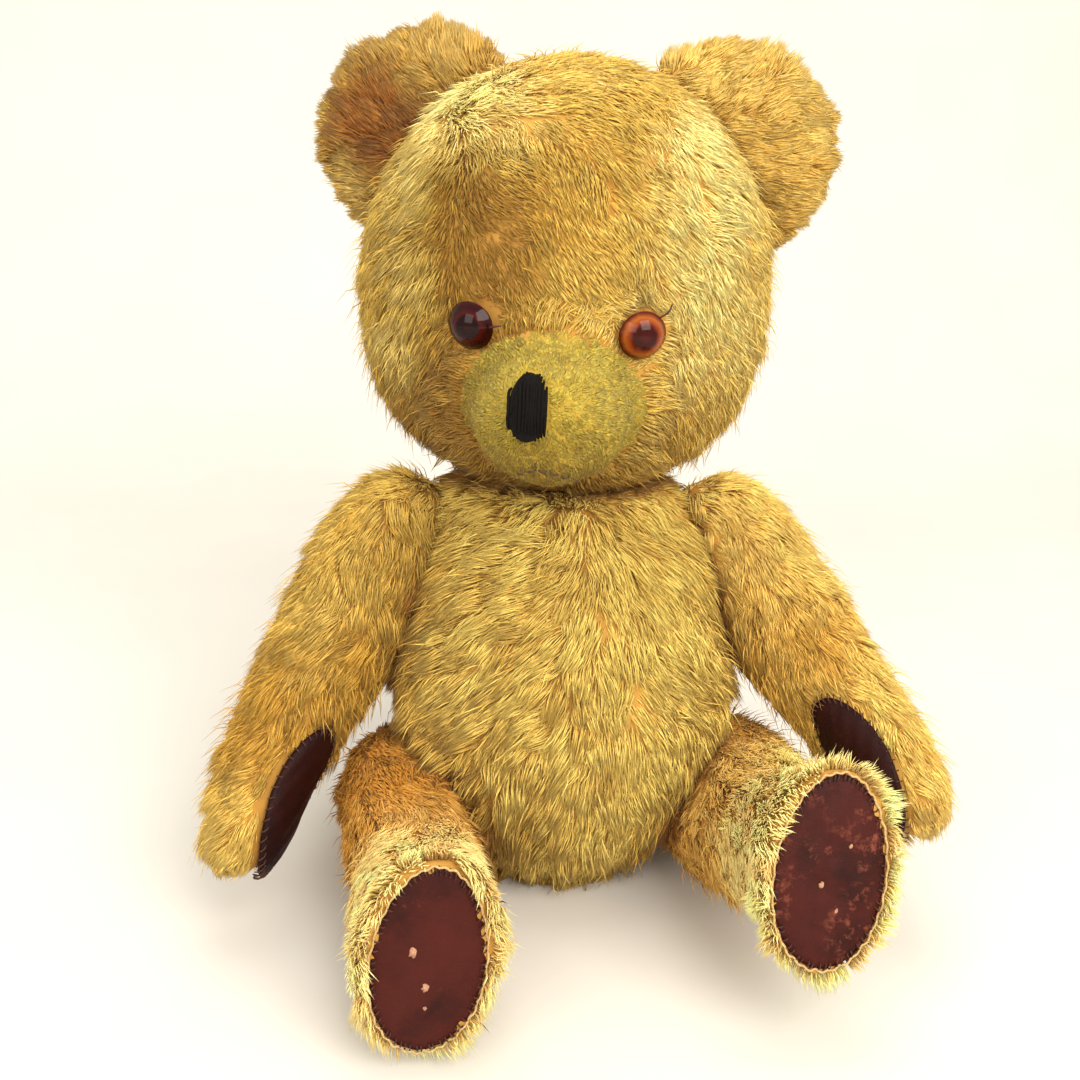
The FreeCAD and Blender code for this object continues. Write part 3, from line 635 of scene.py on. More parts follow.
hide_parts("torso_front_left", "torso_front_right", "torso_back_left", "torso_back_right", "torso_stuffing")
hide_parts("head_side_left", "head_side_right", "head_gusset", "muzzle", "head_stuffing")
for s in ("left", "right"):
    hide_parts("ear_%s_front" % s, "ear_%s_back" % s)
    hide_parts("arm_%s_outer" % s, "arm_%s_inner" % s, "arm_%s_stuffing" % s)
    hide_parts("leg_%s_outer" % s, "leg_%s_inner" % s, "leg_%s_stuffing" % s, "insole_" + s)

# muzzle faces of the head skin take the muzzle backing
SKIN["head"].data.materials.append(BACKING_MUZZLE)
me = SKIN["head"].data
cen = np.zeros(len(me.polygons) * 3, np.float32)
me.polygons.foreach_get("center", cen)
cl = HEAD.inn(cen.reshape(-1, 3) / MM)


def muzzle_mask(pl, grow=1.0):
    """Points of the head that lie on the muzzle, head frame."""
    e = (pl[:, 0] / (30.5 * grow)) ** 2 + ((pl[:, 2] - MUZ_Z) / (26.0 * grow)) ** 2
    return (pl[:, 1] < -55.0) & (e < 1.0)


me.polygons.foreach_set("material_index", muzzle_mask(cl).astype(np.int32))
me.update()

# ---------------------------------------------------------------------------
# Pads
# ---------------------------------------------------------------------------
def bvh_of(verts, faces):
    return BVHTree.FromPolygons([Vector(p) for p in verts.tolist()], [tuple(int(i) for i in q) for q in faces])


def tube(points, radius, sides=6, taper=0.0):
    """Closed round thread along points; arrays of vertices and faces."""
    P = np.asarray(points, float)
    T = unit(np.gradient(P, axis=0))
    up = np.array([0.1, 0.2, 1.0])
    A = unit(np.cross(T, up))
    B = np.cross(T, A)
    n = len(P)
    t = np.linspace(0, 1, n)
    r = radius * (1 - taper * np.abs(2 * t - 1) ** 3)
    an = np.linspace(0, 2 * np.pi, sides, endpoint=False)
    V = P[:, None] + r[:, None, None] * (np.cos(an)[None, :, None] * A[:, None] + np.sin(an)[None, :, None] * B[:, None])
    V = V.reshape(-1, 3)
    F = []
    for i in range(n - 1):
        for j in range(sides):
            k = (j + 1) % sides
            F.append((i * sides + j, i * sides + k, (i + 1) * sides + k, (i + 1) * sides + j))
    F.append(tuple(reversed(range(sides))))
    F.append(tuple((n - 1) * sides + j for j in range(sides)))
    return V, F


def gather(parts):
    V, F, base = [], [], 0
    for v, f in parts:
        V.append(v)
        F += [tuple(i + base for i in q) for q in f]
        base += len(v)
    return np.vstack(V), F


def egg(th, a, b, pinch):
    """Oval of half length a and half width b, narrower at the top end."""
    u = math.cos(th) * a
    w = math.sin(th) * b * (1 - pinch * math.cos(th))
    return u, w


rng = np.random.default_rng(77)
for side in ("left", "right"):
    k = 1 if side == "left" else -1
    # sole pads: stretched oval with a low crown, edge turned under
    fr, sg = LEG[side], LEG_SIGN[side]
    tw = math.radians(-sg * TWIST[side])
    U = np.array([0, math.cos(tw), math.sin(tw)]) * sg     # towards the toe
    W = np.array([0, -math.sin(tw), math.cos(tw)])
    C = np.array([SOLE_X, sg * 3.0, 27.0])
    nr, na = 22, 96
    verts, faces = [], []
    for i in range(nr + 1):
        rho = i / nr
        for j in range(na):
            th = 2 * math.pi * j / na
            u, w = egg(th, 31.3 * rho, 18.0 * rho, 0.07)
            h = 1.5 * (1 - rho ** 4) - 0.2
            h += 0.16 * math.sin(u * 0.45 + w * 0.2 + k) * (1 - rho) + 0.12 * math.sin(w * 0.7 - u * 0.25)
            pucker = 0.22 * math.cos(th * 27) * smooth(rho, 0.86, 0.97)
            verts.append(C + np.array([1.0, 0, 0]) * (h + pucker) + U * u + W * w)
    back = len(verts)
    for i in (nr, nr - 2):
        rho = i / nr
        for j in range(na):
            th = 2 * math.pi * j / na
            u, w = egg(th, 31.0 * rho, 17.7 * rho, 0.07)
            verts.append(C + np.array([1.0, 0, 0]) * -1.8 + U * u + W * w)
    verts.append(C + np.array([1.0, 0, 0]) * -1.8)
    last = len(verts) - 1
    for i in range(nr):
        for j in range(na):
            q = (j + 1) % na
            a, b_, c_, d_ = i * na + j, i * na + q, (i + 1) * na + q, (i + 1) * na + j
            faces.append((b_, c_, d_) if i == 0 else (a, b_, c_, d_))
    # one centre point in place of the inner ring
    for j in range(na):
        q = (j + 1) % na
        faces.append((nr * na + j, nr * na + q, back + q, back + j))
        faces.append((back + j, back + q, back + na + q, back + na + j))
        faces.append((back + na + j, back + na + q, last))
    vv = fr.out(np.array(verts))
    o = new_object("sole_pad_leather_" + side, vv, faces)
    wl = o.modifiers.new("weld", "WELD")
    wl.merge_threshold = 0.00002
    freeze(o)
    bpy.context.view_layer.update()
    o.data.materials.append(SOLE_R if side == "left" else SOLE_L)
    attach(o, "leg_" + side)
    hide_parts("sole_pad_" + side)
    # whip stitches and the pale cut edge round the pad
    parts = []
    ns = 62
    for i in range(ns):
        th = 2 * math.pi * (i + 0.25 * rng.uniform(-1, 1)) / ns
        sk = th + 0.035
        u0, w0 = egg(th, 29.4, 16.4, 0.07)
        u1, w1 = egg(sk, 31.9, 18.6, 0.07)
        um, wm = egg((th + sk) / 2, 31.0, 17.8, 0.07)
        pts = [C + U * u0 + W * w0 + np.array([0.35, 0, 0]), C + U * (u0 * .5 + um * .5) + W * (w0 * .5 + wm * .5) + np.array([1.0, 0, 0]),
               C + U * um + W * wm + np.array([0.85, 0, 0]), C + U * u1 + W * w1 + np.array([-0.6, 0, 0])]
        parts.append(tube(fr.out(np.array(pts)), 0.27, 5))
    V, F = gather(parts)
    o = new_object("sole_stitches_" + side, V, F)
    o.data.materials.append(WHIP)
    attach(o, "leg_" + side)
    ring = []
    for i in range(160):
        th = 2 * math.pi * i / 160
        sc_ = 1 + 0.012 * math.sin(31 * th) + 0.006 * math.sin(17 * th + 1)
        u, w = egg(th, 31.9 * sc_, 18.6 * sc_, 0.07)
        ring.append(C + U * u + W * w + np.array([0.25 + 0.2 * math.sin(31 * th + 1), 0, 0]))
    ring = np.array(ring)
    sides_ = 6
    T = unit(np.roll(ring, -1, 0) - np.roll(ring, 1, 0))
    A = np.tile([1.0, 0, 0], (160, 1))
    B = np.cross(T, A)
    an = np.linspace(0, 2 * np.pi, sides_, endpoint=False)
    V = (ring[:, None] + 0.40 * (np.cos(an)[None, :, None] * A[:, None] + np.sin(an)[None, :, None] * B[:, None])).reshape(-1, 3)
    F = [(i * sides_ + j, i * sides_ + (j + 1) % sides_, ((i + 1) % 160) * sides_ + (j + 1) % sides_, ((i + 1) % 160) * sides_ + j)
         for i in range(160) for j in range(sides_)]
    o = new_object("sole_edge_" + side, fr.out(V), F)
    o.data.materials.append(CREAM)
    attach(o, "leg_" + side)
    # peeled chips where the coating has gone
    spots = ([(4.2, 5.2, 1.5), (-8.2, 0.4, 1.4), (-15.8, 0.2, 0.6)] if side == "right" else
             [(-4.0, -3.0, 0.8), (9.0, 5.0, 0.6), (-12.0, 3.0, 0.6)])
    parts = []
    for (u, w, r) in spots:
        m = 14
        an = np.linspace(0, 2 * np.pi, m, endpoint=False)
        rr = r * (1 + 0.28 * rng.uniform(-1, 1, m))
        rho2 = (u / 31.3) ** 2 + (w / 19.8) ** 2
        h = 1.5 * (1 - rho2 ** 2) - 0.2
        top = [C + U * (u + rr[i] * 1.2 * math.cos(an[i])) + W * (w - k * rr[i] * math.sin(an[i])) + np.array([h + 0.1, 0, 0]) for i in range(m)]
        mid = [C + U * u - W * (k * -0.0) + W * w + np.array([h + 0.42, 0, 0])]
        low = [p - np.array([0.5, 0, 0]) for p in top]
        vv = np.array(top + mid + low)
        ff = [(i, (i + 1) % m, m) for i in range(m)]
        ff += [(i, m + 1 + i, m + 1 + (i + 1) % m, (i + 1) % m) for i in range(m)]
        ff += [tuple(m + 1 + i for i in reversed(range(m)))]
        parts.append((fr.out(vv), ff))
    V, F = gather(parts)
    o = new_object("sole_wear_" + side, V, F)
    o.data.materials.append(board_material("worn_backing_" + side, tuple(lin(136, 84, 66)), tuple(lin(190, 146, 112)), 900.0))
    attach(o, "leg_" + side)

    # paw pads: an oval drawn onto the front inner face of the paw
    fr, sg = ARM[side], ARM_SIGN[side]
    av, af = loft_mesh("arm", sg, 0.0)
    av[:, 2] = np.maximum(av[:, 2], 1.0)
    tree = bvh_of(av, af)
    look = unit(np.array([-0.05, sg * 0.62, -0.78]))
    xd = unit(np.array([1.0, 0, 0]) - look * look[0])
    yd = np.cross(look, xd)
    C = np.array([103, sg * 3.5, 39.9])
    nr, na = 16, 72
    verts, under, faces = [], [], []

    def on_arm(u, w):
        p = C + xd * u + yd * w
        hit = tree.ray_cast(Vector(p + look * 60), Vector(-look))
        if hit[0] is None:
            hit = tree.find_nearest(Vector(p))
        n = np.array(hit[1])
        if n @ look < 0:
            n = -n
        return np.array(hit[0]), n

    for i in range(nr + 1):
        rho = i / nr
        for j in range(na):
            th = 2 * math.pi * j / na
            u, w = egg(th, 26.6 * rho, 14.2 * rho, -0.05)
            p, n = on_arm(u, w)
            h = 0.9 * (1 - rho ** 5) + 0.1 + 0.12 * math.sin(0.6 * u + w)
            h += 0.15 * math.cos(23 * th) * smooth(rho, 0.86, 0.98)
            verts.append(p + n * h)
            if i == nr:
                under.append(p - n * 1.6)
    cb = np.mean(under, 0)
    base = len(verts)
    verts += under + [cb]
    for i in range(nr):
        for j in range(na):
            q = (j + 1) % na
            a, b_, c_, d_ = i * na + j, i * na + q, (i + 1) * na + q, (i + 1) * na + j
            faces.append((b_, c_, d_) if i == 0 else (a, b_, c_, d_))
    for j in range(na):
        q = (j + 1) % na
        faces.append((nr * na + j, nr * na + q, base + q, base + j))
        faces.append((base + j, base + q, base + na))
    o = new_object("paw_pad_leather_" + side, fr.out(np.array(verts)), faces)
    wl = o.modifiers.new("weld", "WELD")
    wl.merge_threshold = 0.00002
    freeze(o)
    o.data.materials.append(PAW)
    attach(o, "arm_" + side)
    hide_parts("paw_pad_" + side)
    parts = []
    for i in range(44):
        th = 2 * math.pi * i / 44
        pts = []
        for q, h in ((0.93, 0.5), (0.98, 1.0), (1.03, 0.4), (1.06, -0.6)):
            u, w = egg(th + 0.03 * (q - 0.93) * 10, 26.6 * q, 14.2 * q, -0.05)
            p, n = on_arm(u, w)
            pts.append(p + n * h)
        parts.append(tube(fr.out(np.array(pts)), 0.26, 5))
    V, F = gather(parts)
    o = new_object("paw_stitches_" + side, V, F)
    o.data.materials.append(WHIP)
    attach(o, "arm_" + side)

# make every pad face outward
for o in scene.objects:
    if o.type == "MESH" and o.name.startswith(("sole_", "paw_")) and "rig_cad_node" not in o:
        import bmesh
        bm = bmesh.new()
        bm.from_mesh(o.data)
        bmesh.ops.recalc_face_normals(bm, faces=bm.faces)
        bm.to_mesh(o.data)
        bm.free()

# ---------------------------------------------------------------------------
# Face: nose, mouth, eyes
# ---------------------------------------------------------------------------
muz_tree = bvh_of(*loft_mesh("muzzle"))


def on_muzzle(x, z):
    hit = muz_tree.ray_cast(Vector((x, -200, z)), Vector((0, 1, 0)))
    if hit[0] is None:
        return np.array([x, -100.0, z]), np.array([0, -1.0, 0])
    n = np.array(hit[1])
    return np.array(hit[0]), (n if n[1] < 0 else -n)


rng = np.random.default_rng(5)
parts = []
NX, NZ, NW, NH = -6.0, 50.5, 6.2, 10.2
cols = 13
for i in range(cols):
    s = (i + 0.5) / cols * 2 - 1
    x = NX + s * NW
    e = max(0.45, 1 - abs(s) ** 3.4) ** (1 / 3.4)
    top = NZ + NH * e * (0.93 + 0.07 * rng.uniform(-1, 1)) - (2.6 if s < -0.45 else 0) - (1.2 if s > 0.8 else 0)
    bot = NZ - NH * (e ** 0.7) * (0.95 + 0.03 * rng.uniform(-1, 1)) + (1.5 if s < -0.75 else 0)
    zz = np.linspace(top, bot, 13)
    tall = rng.uniform(-1, 1)
    pts = []
    for q, z in enumerate(zz):
        t = q / 12.0
        p, n = on_muzzle(x + 0.25 * math.sin(3 * t + i) * (1 - t), z)
        pts.append(p + n * ((1.95 + 0.35 * tall) * (1 - abs(2 * t - 1) ** 6) + 0.1))
    parts.append(tube(HEAD.out(np.array(pts)), 0.56, 7, 0.25))
V, F = gather(parts)
o = new_object("nose_satin_threads", V, F)
o.data.materials.append(BLACK)
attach(o, "head")

parts = []
for (x0, z0, x1, z1, r) in ((-8.6, 28.2, -6.0, 29.4, 0.40), (-5.2, 29.4, -2.6, 30.4, 0.42), (-1.8, 30.4, 1.0, 30.2, 0.42),
                            (1.8, 30.0, 4.6, 29.2, 0.40), (5.6, 28.8, 8.2, 28.0, 0.34), (9.6, 27.4, 11.6, 26.6, 0.30),
                            (-2.4, 31.2, -2.8, 32.8, 0.30)):
    pts = []
    for t in np.linspace(0, 1, 6):
        p, n = on_muzzle(x0 + (x1 - x0) * t, z0 + (z1 - z0) * t)
        pts.append(p + n * (-0.2 + 0.95 * math.sin(math.pi * t)))
    parts.append(tube(HEAD.out(np.array(pts)), r, 6, 0.3))
V, F = gather(parts)
o = new_object("mouth_worn_stitches", V, F)
o.data.materials.append(MOUTH)
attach(o, "head")
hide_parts("mouth_stitching")

EYES = {}
for side in ("left", "right"):
    k = 1 if side == "left" else -1
    rx, ry, cy, rz, cz = 79.6, 70.6, -2.0, 80.0, 83.0
    y = cy - ry * math.sqrt(1 - (29.0 / rx) ** 2)
    n = unit(np.array([k * 29.0 / rx ** 2, (y - cy) / ry ** 2, (69.5 - cz) / rz ** 2]))
    c = np.array([k * 29.0, y, 69.5]) + n * 0.45
    EYES[side] = (c, n)

# threads that hold the eyes, showing at their edges
parts = []
for (side, pts2) in (("right", ((7.6, 0.5), (10.0, 1.6), (12.4, 1.8))), ("left", ((4.6, 6.4), (7.0, 9.0), (8.6, 11.6)))):
    c, n = EYES[side]
    xd = unit(np.cross(np.array([0, 0, 1.0]), n))
    if xd[0] < 0:
        xd = -xd
    zd = unit(np.cross(xd, n))
    if zd[2] < 0:
        zd = -zd
    pts = np.array([c + xd * a + zd * b + n * h for (a, b), h in zip(pts2, (1.8, 3.4, 2.2))])
    fine = hermite([0, 0.5, 1.0], pts, np.linspace(0, 1, 8))
    parts.append(tube(HEAD.out(fine), 0.36, 5, 0.4))
V, F = gather(parts)
o = new_object("eye_threads", V, F)
o.data.materials.append(thread_material("eye_thread_brown", tuple(lin(40, 12, 8)), tuple(lin(84, 28, 18)), 0.6))
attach(o, "head")

def eye_dome(name, side, inner, mid, outer, seat_dir):
    """Domed button eye: a turned profile with a thin rim; the colour deepens towards the pupil."""
    c, n = EYES[side]
    axis = unit(n * 0.55 + seat_dir * 0.45)
    xd = unit(np.cross(np.array([0, 0, 1.0]), n))
    zd = np.cross(n, xd)
    R_ = (8.2 ** 2 + 5.0 ** 2) / (2 * 5.0)
    prof = [(7.6, -0.15), (8.3, 0.05), (8.5, 0.45), (8.3, 0.8)]
    for t in np.linspace(0.93, 0.0, 14)[:-1]:
        rr = 8.15 * t
        prof.append((rr, 0.6 + math.sqrt(R_ * R_ - rr * rr) - (R_ - 5.0)))
    na = 56
    V = [c + n * h + (xd * math.cos(a) + zd * math.sin(a)) * r for r, h in prof for a in np.linspace(0, 2 * np.pi, na, endpoint=False)]
    top, bot = len(V), len(V) + 1
    V += [c + n * 5.6, c - n * 0.15]
    F = []
    for i in range(len(prof) - 1):
        for j in range(na):
            k = (j + 1) % na
            F.append((i * na + j, i * na + k, (i + 1) * na + k, (i + 1) * na + j))
    for j in range(na):
        k = (j + 1) % na
        F.append(((len(prof) - 1) * na + j, (len(prof) - 1) * na + k, top))
        F.append((bot, k, j))
    o = new_object(name, HEAD.out(np.array(V)), F)
    import bmesh
    bm = bmesh.new()
    bm.from_mesh(o.data)
    bmesh.ops.recalc_face_normals(bm, faces=bm.faces)
    bm.to_mesh(o.data)
    bm.free()
    o.data.materials.append(plastic_eye(name + "_plastic", inner, mid, outer, HEAD.out(c), HEAD.vec(axis), 8.4))
    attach(o, "head")
    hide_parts("eye_" + side, "eye_pupils")
    return o


TOCAM = unit(HEAD.ivec(unit(TORSO.out((-72.3, -480.8, 133.0)) - HEAD.out((0, -66, 69)))))
eye_dome("eye_left_dome", "left", tuple(lin(50, 9, 5)), tuple(lin(98, 30, 10)), tuple(lin(150, 78, 30)), TOCAM)
eye_dome("eye_right_dome", "right", tuple(lin(24, 3, 3)), tuple(lin(62, 12, 10)), tuple(lin(34, 5, 5)), TOCAM)


# ---------------------------------------------------------------------------
# CAD nodes that stay: each gets its finish
# ---------------------------------------------------------------------------
def dress(names, mat):
    for n in names:
        o = frame["nodes"][n]
        if not o.material_slots:
            o.data.materials.append(mat)
        for sl in o.material_slots:
            sl.material = mat


S2 = ("left", "right")
dress(["eye_lock_washers"], LOCK)
dress(["nose_stitching"], BLACK)
dress(["back_seam_stitching"], SEAM)
dress(["neck_head_disc", "neck_torso_disc"] + ["shoulder_disc_torso_" + s for s in S2] + ["hip_disc_torso_" + s for s in S2]
      + ["arm_disc_" + s for s in S2] + ["leg_disc_" + s for s in S2], BOARD)
dress(["torso_joint_washers", "neck_head_washer", "neck_pin"] + ["arm_washer_" + s for s in S2] + ["leg_washer_" + s for s in S2]
      + ["shoulder_pin_" + s for s in S2] + ["hip_pin_" + s for s in S2], STEEL)

# ---------------------------------------------------------------------------
# Pile: locks of fibre as real geometry
# ---------------------------------------------------------------------------
def blend_colours(p, anchors):
    """Colour at each point from (x, y, z, spread, (r, g, b), weight) anchors."""
    tot = np.zeros((len(p), 3))
    ws = np.zeros(len(p)) + 1e-9
    for x, y, z, sp, rgb, wt in anchors:
        d2 = ((p - np.array([x, y, z])) ** 2).sum(1)
        w = wt * np.exp(-d2 / (2 * sp * sp))
        tot += w[:, None] * lin(*rgb)
        ws += w
    return tot / ws[:, None]


def stain(col, p, patches, seed):
    """Lay patches (x, y, z, spread, (r, g, b), strength) over the colours, with uneven edges."""
    for i, (x, y, z, sp, rgb, st) in enumerate(patches):
        wob = 1 + 0.35 * noise(p, 9, seed + i)
        d2 = ((p - np.array([x, y, z])) ** 2).sum(1) / (sp * sp * wob * wob)
        w = (st * np.exp(-0.5 * d2 ** 1.3))[:, None]
        col = col * (1 - w) + lin(*rgb) * w
    return col


def torso_field(P, N):
    p = TORSO.inn(P)
    n = TORSO.ivec(N)
    x, y, z = p.T
    sx = np.tanh((x - 2) / 16.0)
    left = x < 2
    hi = smooth(z, 70, 140)
    lo = 1 - smooth(z, 18, 62)
    dx = np.where(left, 0.62 + 0.35 * hi - 0.42 * lo, 0.42 + 0.15 * hi - 0.3 * lo) * sx
    dz = -np.where(left, 0.62 - 0.12 * hi + 0.4 * lo, 0.85 + 0.2 * lo)
    back = smooth(y, 5, 30)
    dx = dx * (1 - 0.7 * back)
    d = np.stack([dx, 0 * x, dz - 0.3 * back], 1)
    length = 13.0 + 1.5 * left + 2.2 * noise(p, 18, 11) - 3.0 * smooth(z, 138, 160)
    lift = np.where(left, 15, 11) + 6 * noise(p, 12, 12)
    cl = np.where(left, 0.80, 0.50) * (1 - 0.35 * hi) + 0.12 * lo
    # Darker anchors in the hip creases (±44, -26, 22) and the arm gaps (±60, -18, 105): partly dye kept unfaded where
    # the fur is covered, partly painted shade between the parts.
    A = [(0, -40, 145, 22, (228, 194, 112), 1), (-42, -38, 122, 24, (205, 168, 84), 1), (42, -38, 122, 24, (206, 170, 84), 1),
         (0, -57, 78, 28, (206, 172, 90), 1), (-45, -40, 70, 24, (202, 166, 80), 1), (45, -42, 66, 24, (207, 173, 90), 1),
         (0, -48, 26, 22, (208, 170, 92), 1), (-44, -26, 22, 12, (150, 92, 30), 1.4), (44, -26, 22, 12, (158, 96, 34), 1.4),
         (-60, -18, 105, 14, (160, 104, 40), 1.3), (60, -18, 105, 14, (176, 124, 52), 1.2),
         (0, 52, 120, 34, (186, 142, 64), 1), (0, 56, 60, 34, (178, 132, 56), 1), (-60, 20, 60, 24, (176, 124, 48), 1),
         (60, 20, 60, 24, (182, 134, 56), 1), (0, 20, 10, 22, (170, 122, 52), 1), (0, -52, 112, 18, (198, 164, 72), 1)]
    col = blend_colours(p, A)
    pf = np.stack([x, np.where(y < 0, -50.0, y), z], 1)
    # Stains at (-30, -50, 24) and (36, -50, 22) in the hip creases and at (-52, -50, 118) beside the arm: partly
    # unfaded dye, partly painted shade.
    col = stain(col, pf, [(-40, -50, 92, 12, (228, 192, 116), 0.45), (-24, -50, 62, 12, (224, 190, 112), 0.4), (-44, -50, 52, 9, (176, 128, 52), 0.5),
                          (6, -50, 136, 15, (216, 182, 92), 0.6), (26, -50, 100, 18, (230, 198, 124), 0.6), (32, -50, 56, 15, (236, 204, 134), 0.55),
                          (0, -50, 28, 14, (220, 184, 108), 0.45), (-30, -50, 24, 8, (150, 94, 30), 0.6), (36, -50, 22, 8, (172, 118, 46), 0.5),
                          (-52, -50, 118, 8, (168, 112, 40), 0.5)], 600)
    keep = np.ones(len(p))
    for j, fr in list(JOINT.items()) + [("neck", HEAD)]:
        q = fr.inn(P)
        rr = np.hypot(q[:, 0], q[:, 1])
        keep[(np.abs(q[:, 2]) < 3.0) & (rr < (24 if j == "neck" else 16))] = 0
        if j == "neck":
            # on top of the shoulders the pile runs out from under the chin
            m_ = smooth(-q[:, 2], -1, 6)
            out_ = unit(np.stack([q[:, 0], q[:, 1], 0 * rr], 1))
            dn = TORSO.ivec(HEAD.vec(out_))
            wt = (1 - m_)[:, None]
            d = d * (1 - wt) + dn * wt
    return TORSO.vec(d), length, lift, cl, col, keep


def head_field(P, N):
    p = HEAD.inn(P)
    x, y, z = p.T
    front = 1 - smooth(y, -25, 15)
    fore = (1 - smooth(np.abs(x - 2), 24, 52)) * smooth(z, 66, 84)
    right = smooth(x, 32, 46)
    left = smooth(-x, 24, 58) * (1 - 0.75 * smooth(z, 112, 140))
    hi = smooth(z, 75, 120)
    d = np.zeros((len(p), 3))
    d += fore[:, None] * np.array([0.62, -0.25, -0.72])
    d += (right * 1.0)[:, None] * np.stack([0.42 + 0.35 * hi, 0.1 + 0 * x, -0.9 + 0.25 * hi], 1)
    d += (left * 1.0)[:, None] * np.stack([-0.42 - 0.1 * hi, 0.05 + 0 * x, -0.85 + 0.1 * hi], 1)
    mid = (1 - smooth(z, 60, 78)) * (1 - right) * (1 - left)
    d += mid[:, None] * np.stack([np.sign(x) * 0.8, 0 * x, -0.55 + 0 * x], 1)
    top = smooth(z, 128, 150)
    d = d * (1 - 0.6 * top)[:, None] + top[:, None] * np.stack([0.75 - 0.9 * smooth(-x, 10, 80), -0.35 + 1.1 * smooth(y, -15, 30), -0.1 + 0 * x], 1)
    bk = np.stack([0.22 * np.tanh(x / 20), 0.2 + 0 * x, -1 + 0 * x], 1)
    d = d * front[:, None] + bk * (1 - front)[:, None]
    length = 10.8 + 1.8 * noise(p, 16, 21) + 2.2 * smooth(-x, 20, 60) * (1 - smooth(z, 80, 110))
    length -= 2.2 * fore
    length *= 1 - 0.35 * (1 - smooth(z, 3, 14))
    lift = 12 + 6 * noise(p, 11, 22) - 3 * right + 4 * left * (1 - smooth(z, 80, 110))
    # tuft at the upper left of the face stands up
    tuft = np.exp(-(((x + 40) / 13) ** 2 + ((z - 128) / 13) ** 2)) * front
    lift = lift + 6 * tuft
    length = length + 2 * tuft
    # round the muzzle the pile rises over its edge
    e = np.sqrt((x / 31.0) ** 2 + ((z - MUZ_Z) / 26.5) ** 2)
    ring = (1 - smooth(e, 1.05, 1.45)) * (y < -40)
    out = unit(np.stack([x / 31.0, 0 * x, (z - MUZ_Z) / 26.5], 1))
    d = d * (1 - 0.75 * ring)[:, None] + out * (0.9 * ring)[:, None]
    length = length * (1 - 0.28 * ring)
    lift = lift + 10 * ring
    cl = 0.30 + 0.36 * left * (1 - smooth(z, 90, 120)) + 0.06 * right
    cl = cl + 0.12 * (1 - front)
    # The darker anchors at (-34, -58, 54) and (-48, -44, 42), left of and below the muzzle on the -x side, are painted
    # shadow of the muzzle. The one under the chin at (0, -50, 14) is painted shadow too.
    A = [(4, -62, 112, 20, (204, 168, 76), 1), (2, -66, 88, 14, (204, 170, 82), 0.9), (-24, -60, 104, 13, (158, 104, 26), 2.2),
         (-30, -60, 86, 12, (158, 102, 28), 2.0), (-42, -42, 130, 13, (232, 204, 146), 1.8), (46, -48, 110, 18, (224, 192, 124), 1.4),
         (50, -48, 66, 20, (216, 184, 110), 1.2), (46, -44, 34, 18, (200, 166, 84), 1), (-52, -44, 70, 18, (192, 152, 76), 1),
         (-48, -44, 42, 18, (170, 128, 54), 1.1), (-34, -58, 54, 9, (150, 104, 42), 1.2), (34, -60, 58, 9, (186, 146, 66), 1),
         (-70, -14, 90, 24, (190, 152, 72), 1), (72, -10, 90, 24, (206, 170, 88), 1), (0, -30, 152, 22, (200, 168, 82), 1),
         (0, 40, 140, 34, (188, 148, 66), 1), (0, 66, 80, 40, (182, 138, 60), 1), (0, 30, 10, 34, (160, 116, 48), 1),
         (-20, -66, 74, 8, (150, 100, 36), 1.0), (0, -50, 14, 20, (150, 108, 42), 1.2)]
    col = blend_colours(p, A)
    pf = np.stack([x, np.where(y < 0, -60.0, y), z], 1)
    # Stains at (-34, -60, 34), (-37, -60, 52) and (-56, -60, 30) darken the lower -x cheek beside the muzzle: painted
    # shadow of the muzzle.
    col = stain(col, pf, [(-38, -60, 122, 10, (152, 98, 26), 0.75), (-27, -60, 106, 11, (148, 92, 20), 0.85), (-21, -60, 92, 9, (156, 100, 30), 0.75),
                          (-34, -60, 84, 8, (150, 96, 28), 0.7), (-40, -60, 146, 10, (240, 212, 156), 0.85), (-28, -60, 150, 7, (236, 206, 148), 0.6),
                          (43, -60, 132, 8, (238, 212, 158), 0.75), (46, -60, 112, 9, (236, 208, 150), 0.7), (50, -60, 92, 10, (228, 198, 134), 0.6),
                          (52, -60, 70, 12, (232, 200, 132), 0.55), (10, -60, 120, 14, (186, 152, 56), 0.6), (14, -60, 96, 12, (190, 156, 60), 0.5),
                          (-34, -60, 34, 8, (128, 82, 26), 0.75), (-37, -60, 52, 7, (140, 92, 32), 0.7), (-58, -60, 60, 8, (228, 196, 132), 0.5),
                          (-50, -60, 84, 8, (218, 184, 112), 0.5), (-56, -60, 30, 10, (148, 104, 40), 0.5), (40, -60, 34, 9, (160, 118, 46), 0.5)], 500)
    keep = np.ones(len(p))
    keep[z < 3.5] = 0
    keep[muzzle_mask(p, 1.03)] = 0
    for s, (c, n) in EYES.items():
        r = np.linalg.norm(p - c, axis=1)
        keep[r < 8.6] = 0
        near = 1 - smooth(r, 8, 17)
        away = unit(p - c)
        d = d * (1 - 0.5 * near)[:, None] + away * (0.4 * near)[:, None]
        length = length * (1 - 0.40 * near)
        lift = lift - 4 * near
    for s in S2:
        q = EAR[s].inn(P)
        inside = (np.hypot(q[:, 0], q[:, 2]) < 40) & (np.abs(q[:, 1]) < 4.5)
        keep[inside] = 0
    return HEAD.vec(d), length, lift, cl, col, keep


